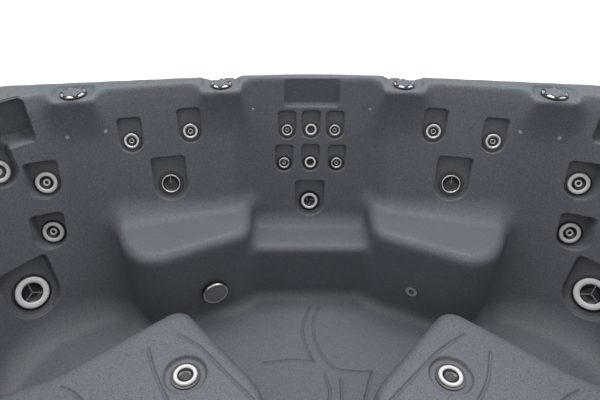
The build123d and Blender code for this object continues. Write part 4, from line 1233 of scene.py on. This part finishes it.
COATINGS = {
    Finish.SHELL: Coating(
        (0.142, 0.158, 0.182), 0.50, flecks=0.85, dark=(0.050, 0.062, 0.082),
        light=(0.235, 0.243, 0.262), grain_scale=260.0, grain_height=0.0004,
    ),
    Finish.BLACK: Coating((0.012, 0.012, 0.014), 0.20, coat=0.5, change=0.04),
    Finish.RING: Coating((0.80, 0.81, 0.83), 0.24, metallic=1.0, change=0.05),
    Finish.KNOB: Coating((0.22, 0.23, 0.26), 0.35, flecks=0.3, dark=(0.10, 0.11, 0.13),
                         light=(0.33, 0.34, 0.37)),
    Finish.CABINET: Coating(
        (0.120, 0.122, 0.128), 0.55, flecks=0.4, dark=(0.030, 0.031, 0.034),
        light=(0.16, 0.16, 0.17), board_width=0.118,
    ),
    Finish.STEEL: Coating((0.55, 0.56, 0.57), 0.38, metallic=1.0, change=0.2),
    Finish.PAINT: Coating((0.030, 0.055, 0.075), 0.42, change=0.12),
    Finish.FOAM: Coating((0.52, 0.45, 0.30), 0.90, flecks=0.5, dark=(0.36, 0.30, 0.19),
                         light=(0.60, 0.54, 0.38), grain_scale=120.0, grain_height=0.002),
    Finish.PIPE: Coating((0.62, 0.63, 0.62), 0.40, change=0.08),
    Finish.LENS: Coating((0.34, 0.37, 0.42), 0.12, coat=1.0, transmission=0.25),
    Finish.FILTER: Coating((0.70, 0.71, 0.72), 0.85, grain_scale=90.0, grain_height=0.001),
}
WHITE_RING = Coating((0.86, 0.87, 0.88), 0.28, change=0.05)
KNOB_CAP = Coating((0.125, 0.137, 0.158), 0.35, flecks=0.3, dark=(0.06, 0.07, 0.09))


@dataclass
class Finishes:
    """The scene's materials: one for each of the record's slots, and two more."""

    groups: SharedGroups = field(default_factory=SharedGroups)
    made: dict = field(init=False)
    white_ring: bpy.types.Material = field(init=False)
    knob_cap: bpy.types.Material = field(init=False)

    def __post_init__(self) -> None:
        """Makes every material."""
        self.made = {f: c.build(f.value, self.groups) for f, c in COATINGS.items()}
        self.white_ring = WHITE_RING.build("jet_ring_white", self.groups)
        self.knob_cap = KNOB_CAP.build("knob_cap_grey", self.groups)

    def dress(self, target: bpy.types.Object, *finishes: Finish | bpy.types.Material) -> None:
        """Puts finishes on an object.

        Args:
            target: The object.
            finishes: The finishes, in the order of its faces' numbers.
        """
        if target.data.materials:
            target.data.materials.clear()
        for finish in finishes:
            target.data.materials.append(
                self.made[finish] if isinstance(finish, Finish) else finish
            )

    def dress_frame(self) -> None:
        """Gives every carried-over CAD node the finish of its own slot."""
        for row in frame["record"]["subparts"]:
            self.dress(frame["nodes"][row["node"]], Finish(row["material_slot"]))
            log.info("dressed: %s", row["node"])


class TurnedMesh:
    """A mesh turned about its own Z axis, whose faces are numbered by finish."""

    weld: float = 1e-5

    def __init__(self) -> None:
        """Makes it empty."""
        self.mesh = bmesh.new()

    def ring(self, radius: float, height: float, segments: int, swell: Callable | None,
             place: int) -> list:
        """Adds one ring of points.

        Args:
            radius: Their radius.
            height: Their height.
            segments: How many there are.
            swell: Change of the radius by angle and place in the profile, or None.
            place: The place in the profile.

        Returns:
            The points.
        """
        row = []
        for n in range(segments):
            angle = 2 * math.pi * n / segments
            reach = radius * (swell(angle, place) if swell else 1.0)
            point = (math.cos(angle) * reach, math.sin(angle) * reach, height)
            row.append(self.mesh.verts.new(point))
        return row

    def turn(self, profile: list[Pair], finish: int, segments: int = 64,
             swell: Callable | None = None) -> None:
        """Adds the surface turned from a profile.

        Args:
            profile: Pairs of radius and height, from outside in or from below up.
            finish: Number of the finish its faces take.
            segments: How many faces go round.
            swell: Change of a radius by angle and place in the profile, or None.
        """
        rows = [self.ring(radius, height, segments, swell, place)
                for place, (radius, height) in enumerate(profile)]
        for low, high in zip(rows[:-1], rows[1:]):
            for n in range(segments):
                after = (n + 1) % segments
                face = self.mesh.faces.new((low[n], low[after], high[after], high[n]))
                face.material_index = finish
                face.smooth = True

    def close(self, radius: float, height: float, finish: int, segments: int = 64) -> None:
        """Adds a flat disc.

        Args:
            radius: Its radius.
            height: Its height.
            finish: Number of the finish it takes.
            segments: How many edges it has.
        """
        points = self.ring(radius, height, segments, None, 0)
        self.mesh.faces.new(points).material_index = finish

    def bar(self, size: tuple, middle: tuple, angle: float, finish: int) -> None:
        """Adds a box that is moved outwards and then turned about the axis.

        Args:
            size: The box's size.
            middle: Where its middle is moved to.
            angle: How far it is turned.
            finish: Number of the finish it takes.
        """
        turn = Matrix.Rotation(angle, 4, "Z") @ Matrix.Translation(middle)
        made = bmesh.ops.create_cube(self.mesh, matrix=turn @ Matrix.Diagonal((*size, 1.0)))
        for vert in made["verts"]:
            for face in vert.link_faces:
                face.material_index = finish

    def build(self, name: str, matrix: Matrix) -> bpy.types.Object:
        """Makes the object at its place.

        Args:
            name: The object's name.
            matrix: The turn and move from its own axes to the tub's.

        Returns:
            The object.
        """
        bmesh.ops.remove_doubles(self.mesh, verts=self.mesh.verts, dist=self.weld)
        bmesh.ops.recalc_face_normals(self.mesh, faces=self.mesh.faces)
        self.mesh.transform(matrix)
        data = bpy.data.meshes.new(name)
        self.mesh.to_mesh(data)
        self.mesh.free()
        return link(name, data)


@dataclass(frozen=True)
class JetLook:
    """How the turning ring and nozzle of one kind of jet look, as shares of its sizes."""

    eye: float = 0.0
    webs: int = 0
    web_turn: float = 0.0
    vanes: int = 0
    notches: int = 0
    white: bool = False


LOOKS = {
    "small": JetLook(eye=0.46),
    "plain": JetLook(white=True),
    "medium": JetLook(vanes=3, white=True),
    "upper": JetLook(eye=0.44),
    "broad": JetLook(webs=1, web_turn=90.0),
    "corner": JetLook(eye=0.42, white=True),
    "heavy": JetLook(webs=3, web_turn=90.0, white=True),
    "lobe": JetLook(notches=44, white=True),
}
# Sections as pairs: a share of a radius, and a height over the ring's foot
DISH_SECTION = ((1.0, 0.0023), (0.96, -0.0005), (0.80, -0.0025), (0.55, -0.0030))
LIP_SECTION = ((1.25, -0.0030), (1.18, 0.0020), (0.98, 0.0032), (0.78, 0.0020), (0.66, -0.0010))
BORE_SECTION = ((0.66, -0.0010), (0.5, -0.0036))
# The ring's section as shares of its width and of its rise, from its inner edge and its foot
RING_SHARES = ((0.96, 0.0), (1.0, 0.35), (0.92, 0.78), (0.72, 1.0), (0.30, 1.0), (0.06, 0.72),
               (0.0, 0.35))


@dataclass(frozen=True)
class JetInsert:
    """The turning ring and nozzle of one jet, drawn in its own axes."""

    kind: JetKind
    look: JetLook
    foot: float = 0.0044
    top: float = 0.0110
    floor_drop: float = 0.0036
    floor_share: float = 0.62
    notched_places: tuple[int, ...] = (1, 2, 3)
    notch_share: float = 0.035
    notch_level: float = 0.2
    web_size: Pair = (0.0036, 0.0040)
    web_shares: Pair = (0.94, 0.5)
    vane_size: Pair = (0.0042, 0.0030)
    vane_shares: Triple = (0.62, 0.42, 0.22)

    def ring_profile(self) -> list[Pair]:
        """The ring's section, from its outer foot over its crown to its inner edge."""
        width, rise = self.kind.ring - self.kind.face, self.top - self.foot
        return [(self.kind.face + out * width, self.foot + up * rise) for out, up in RING_SHARES]

    def section(self, table: tuple, radius: float) -> list[Pair]:
        """A section at its own size and height."""
        return [(share * radius, self.foot + rise) for share, rise in table]

    def notch_swell(self, angle: float, place: int) -> float:
        """Cuts narrow notches round the ring's outer edge.

        Args:
            angle: Where on the ring.
            place: The place in its section.

        Returns:
            What the radius is multiplied by.
        """
        if place not in self.notched_places:
            return 1.0
        return 1.0 - self.notch_share * (math.cos(angle * self.look.notches) > self.notch_level)

    def add_to(self, mesh: TurnedMesh) -> None:
        """Draws the ring, the dished face and the nozzle.

        Args:
            mesh: The mesh that takes them.
        """
        look, face = self.look, self.kind.face
        swell = self.notch_swell if look.notches else None
        segments = look.notches * 6 if look.notches else 64
        mesh.turn(self.ring_profile(), 0, segments, swell)
        mesh.turn(self.section(DISH_SECTION, face), 1)
        if look.eye:
            mesh.turn(self.section(LIP_SECTION, face * look.eye), 0)
            mesh.turn(self.section(BORE_SECTION, face * look.eye), 1)
        mesh.close(face * self.floor_share, self.foot - self.floor_drop, 1)
        long, out = self.web_shares
        for n in range(look.webs):
            turn = math.radians(look.web_turn + 360 * n / look.webs)
            mesh.bar((face * long, *self.web_size), (face * out, 0, self.foot), turn, 2)
        long, out, beside = self.vane_shares
        for n in range(look.vanes):
            turn = 2 * math.pi * n / look.vanes
            middle = (face * out, face * beside, self.foot)
            mesh.bar((face * long, *self.vane_size), middle, turn, 2)


@dataclass(frozen=True)
class Jets:
    """All the jets: the turning ones from their joints, the fixed ones from their node."""

    finishes: Finishes
    island_share: float = 2.2
    middle_reach: float = 0.03

    def turning(self) -> dict:
        """Finds the turning jets.

        Returns:
            Each one's site and kind name, by its node's name.
        """
        found = {}
        for joint in frame["joints"]:
            name = joint["child"]
            if not name.endswith("_jet"):
                continue
            style = next((k for k in JET_KINDS if name.endswith(f"{k}_jet")), "corner")
            site = Site.facing(Vector(joint["pos_m"]), Vector(joint["axis"]))
            found[name] = (site, "medium" if name.startswith("centre") else style)
        return found

    def fixed(self) -> list[Site]:
        """Finds the fixed small jets from the islands of their shared node.

        Returns:
            Their sites.
        """
        node = frame["nodes"]["small_jet_nozzles"]
        points = np.array([v.co[:] for v in node.data.vertices])
        centre = next(j for j in frame["joints"] if j["child"] == "centre_jet")
        out = Vector(centre["axis"])
        sites = []
        left = np.ones(len(points), bool)
        reach = self.island_share * JET_KINDS["small"].cover
        while left.any():
            first = points[np.argmax(left)]
            near = np.linalg.norm(points - first, axis=1) < reach
            island = points[near & left]
            left &= ~near
            depth = (island @ np.array(out)).max()
            middle = Vector((island.min(axis=0) + island.max(axis=0)) / 2)
            middle += out * (depth - middle.dot(out) - JetInsert.top)
            sites.append(Site.facing(middle, out))
        return sites

    def sites(self) -> list:
        """Every jet's site and kind, for the shell's pockets."""
        rows = [(site, JET_KINDS[kind]) for site, kind in self.turning().values()]
        return rows + [(site, JET_KINDS["small"]) for site in self.fixed()]

    def build(self) -> None:
        """Makes every jet's ring and nozzle."""
        for name, (site, kind) in self.turning().items():
            made = self._insert(name + "_look", site, kind, LOOKS[kind], name)
            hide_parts(name)
        for number, site in enumerate(self.fixed()):
            look = LOOKS["plain" if abs(site.origin.x) < self.middle_reach else "small"]
            self._insert(f"small_jet_{number}", site, "small", look, TUB)
        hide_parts("small_jet_nozzles")

    def _insert(self, name: str, site: Site, kind: str, look: JetLook,
                body: str) -> bpy.types.Object:
        """Makes one jet's ring and nozzle.

        Args:
            name: The piece's name.
            site: Where it sits.
            kind: The name of its sizes.
            look: How it looks.
            body: The body that it rides on.

        Returns:
            The piece.
        """
        mesh = TurnedMesh()
        JetInsert(JET_KINDS[kind], look).add_to(mesh)
        made = mesh.build(name, site.matrix())
        ring = self.finishes.white_ring if look.white else Finish.RING
        self.finishes.dress(made, ring, Finish.BLACK, Finish.KNOB)
        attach(made, body)
        return made


@dataclass(frozen=True)
class Knob:
    """One air knob: a black body with bright finger scoops bitten into its domed grey cap."""

    node: str
    scoop_turn: float
    finishes: Finishes
    scoops: int = 6
    segments: int = 144
    scoop_width: float = 0.86
    patch_width: float = 0.52
    cap_edge: float = 0.93
    scoop_depth: float = 0.27
    lip: float = 0.965

    def bite(self, angle: float) -> Pair:
        """Finds how deep the scoops bite.

        Args:
            angle: Where on the knob.

        Returns:
            The depth, and the distance from the scoop's middle, both as shares.
        """
        sector = 2 * math.pi / self.scoops
        away = abs((angle - self.scoop_turn + sector / 2) % sector - sector / 2) / (sector / 2)
        return math.sqrt(max(0.0, 1.0 - (away / self.scoop_width) ** 2)), away

    def column(self, angle: float) -> list[tuple[float, float, int]]:
        """Draws the knob's section at one angle.

        Args:
            angle: Where on the knob.

        Returns:
            Shares of its radius and height, with the number of the finish above each point.
        """
        depth, away = self.bite(angle)
        edge = self.cap_edge - self.scoop_depth * depth
        patch = 0 if away < self.patch_width else 1
        lip = self.lip - 0.015 * depth
        slope = lip - 0.02
        return [
            (0.97, 0.0, 1), (1.0, 0.12, 1), (1.0, 0.34, 1), (lip, 0.42, 1),
            (slope - 0.02 * depth, 0.42 - 0.10 * depth, patch),
            (min(slope, edge + 0.09), 0.50 + 0.12 * depth, 1),
            (min(slope, edge + 0.035), 0.86, 1), (edge - 0.03, 0.90, 2),
            (0.52 - 0.04 * depth, 0.975, 2), (0.25, 0.99, 2), (0.02, 1.0, 2),
        ]

    def build(self) -> bpy.types.Object:
        """Makes the knob inside its CAD node's own size.

        Returns:
            The knob.
        """
        low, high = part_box(self.node)
        radius = (high.x - low.x) / 2
        rise = high.z - low.z
        mesh = TurnedMesh()
        columns = []
        for n in range(self.segments):
            angle = 2 * math.pi * n / self.segments
            rows = self.column(angle)
            columns.append(([mesh.mesh.verts.new((
                math.cos(angle) * radius * out, math.sin(angle) * radius * out, rise * up,
            )) for out, up, _ in rows], [finish for _, _, finish in rows]))
        for n, (points, numbers) in enumerate(columns):
            beside = columns[(n + 1) % self.segments][0]
            for m, number in enumerate(numbers[:-1]):
                face = mesh.mesh.faces.new((points[m], beside[m], beside[m + 1], points[m + 1]))
                face.material_index = number
                face.smooth = True
        middle = Vector(((low.x + high.x) / 2, (low.y + high.y) / 2, low.z))
        knob = mesh.build(self.node + "_look", Matrix.Translation(middle))
        self.finishes.dress(knob, Finish.RING, Finish.BLACK, self.finishes.knob_cap)
        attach(knob, self.node)
        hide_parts(self.node)
        return knob


@dataclass(frozen=True)
class SuctionCover:
    """The round suction cover: a plain grey face inside a bright rolled edge."""

    finishes: Finishes
    node: str = "suction_cover"
    rise: float = 0.018
    segments: int = 96
    facing: float = -0.5
    # Shares of the radius and the rise, by the number of the finish
    section_shares: tuple = (
        (1, ((1.0, -1.0), (1.0, -0.66), (0.97, -0.36))),
        (0, ((0.97, -0.36), (0.93, -0.16), (0.87, -0.10), (0.83, -0.20))),
        (2, ((0.83, -0.20), (0.60, -0.06), (0.30, -0.02), (0.01, 0.0))),
    )

    def site(self) -> Site:
        """Finds the cover's middle and the way it faces from its CAD node.

        Returns:
            The site.
        """
        mesh = frame["nodes"][self.node].data
        facing = [f for f in mesh.polygons if f.normal.y < self.facing]
        out = sum((f.normal * f.area for f in facing), Vector()).normalized()
        low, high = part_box(self.node)
        middle = (low + high) / 2
        depth = max(v.co.dot(out) for v in mesh.vertices)
        return Site.facing(middle + out * (depth - middle.dot(out)), out)

    def build(self) -> bpy.types.Object:
        """Makes the cover inside its CAD node's own size.

        Returns:
            The cover.
        """
        low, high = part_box(self.node)
        radius = (high.z - low.z) / 2
        mesh = TurnedMesh()
        for number, shares in self.section_shares:
            profile = [(radius * out, self.rise * up) for out, up in shares]
            mesh.turn(profile, number, self.segments)
        cover = mesh.build("suction_cover_look", self.site().matrix())
        self.finishes.dress(cover, Finish.RING, Finish.BLACK, Finish.KNOB)
        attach(cover, TUB)
        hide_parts(self.node)
        return cover


@dataclass(frozen=True)
class Stage:
    """Floor, light and surroundings, in metres and watts."""

    floor_reach: float = 30.0
    floor_white: float = 0.93
    floor_roughness: float = 0.8
    floor_glow: float = 0.45
    sky_light: float = 0.69
    lamp_place: Triple = (0.0, 1.5, 3.2)
    lamp_target: Triple = (0.0, 0.7, 0.0)
    lamp_size: Pair = (4.0, 1.2)
    lamp_power: float = 62.0

    def build(self) -> None:
        """Makes the white floor and the soft light from above."""
        self._floor()
        self._sky()
        self._lamp()

    def _floor(self) -> None:
        """Makes the floor, which keeps the tub's shadow."""
        mesh = bpy.data.meshes.new("floor")
        reach = self.floor_reach
        mesh.from_pydata(
            [(-reach, -reach, 0), (reach, -reach, 0), (reach, reach, 0), (-reach, reach, 0)],
            [], [(0, 1, 2, 3)],
        )
        floor = link("floor", mesh)
        material = bpy.data.materials.new("white_floor")
        material.use_nodes = True
        shader = material.node_tree.nodes["Principled BSDF"].inputs
        shader["Base Color"].default_value = (*[self.floor_white] * 3, 1.0)
        shader["Roughness"].default_value = self.floor_roughness
        shader["Emission Color"].default_value = (1.0, 1.0, 1.0, 1.0)
        shader["Emission Strength"].default_value = self.floor_glow
        mesh.materials.append(material)

    def _sky(self) -> None:
        """Makes surroundings that the camera sees plain white."""
        world = bpy.data.worlds.new("white_room")
        bpy.context.scene.world = world
        world.use_nodes = True
        nodes = world.node_tree.nodes
        background = nodes["Background"]
        background.inputs["Color"].default_value = (1.0, 1.0, 1.0, 1.0)
        background.inputs["Strength"].default_value = self.sky_light
        tree = ShaderTree(world.node_tree)
        seen = tree.add("Background", None, Color=(1.0, 1.0, 1.0, 1.0), Strength=1.0)
        path = tree.add("LightPath")
        both = tree.add("MixShader")
        ways = (path.outputs["Is Camera Ray"], background.outputs[0], seen.outputs[0])
        for socket, value in zip(both.inputs, ways):
            tree.put(socket, value)
        tree.put(nodes["World Output"].inputs["Surface"], both.outputs[0])

    def _lamp(self) -> None:
        """Makes the long lamp over the back edge."""
        data = bpy.data.lights.new("overhead", "AREA")
        data.shape = "RECTANGLE"
        data.size, data.size_y = self.lamp_size
        data.energy = self.lamp_power
        lamp = link("overhead", data)
        lamp.location = self.lamp_place
        way = Vector(self.lamp_target) - Vector(self.lamp_place)
        lamp.rotation_euler = way.to_track_quat("-Z", "Y").to_euler()


def knob_pads() -> list[Site]:
    """Finds where the right half's knob pads stand.

    Returns:
        Each pad's place, with its across and up level.
    """
    pads = []
    turn = math.radians(PAD_TURN)
    across = Vector((math.cos(turn), -math.sin(turn), 0))
    for name in ("right_inner_knob", "right_outer_knob"):
        low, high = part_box(name)
        middle = Vector(((low.x + high.x) / 2, (low.y + high.y) / 2, 0))
        pads.append(Site(middle, across, Vector((0, 0, 1)).cross(across), Vector((0, 0, 1))))
    return pads


def main() -> None:
    """Builds the whole scene."""
    camera = PhotoCamera()
    finishes = Finishes()
    finishes.dress_frame()
    jets = Jets(finishes)
    shell = TubShell(BasinShape(), camera).build(jets.sites(), knob_pads())
    finishes.dress(shell, Finish.SHELL)
    jets.build()
    for name, turn in KNOB_TURNS.items():
        Knob(name, math.radians(turn), finishes).build()
    SuctionCover(finishes).build()
    Stage().build()
    camera.build()
    bpy.context.scene.view_settings.view_transform = "Standard"


if __name__ == "__main__":
    main()
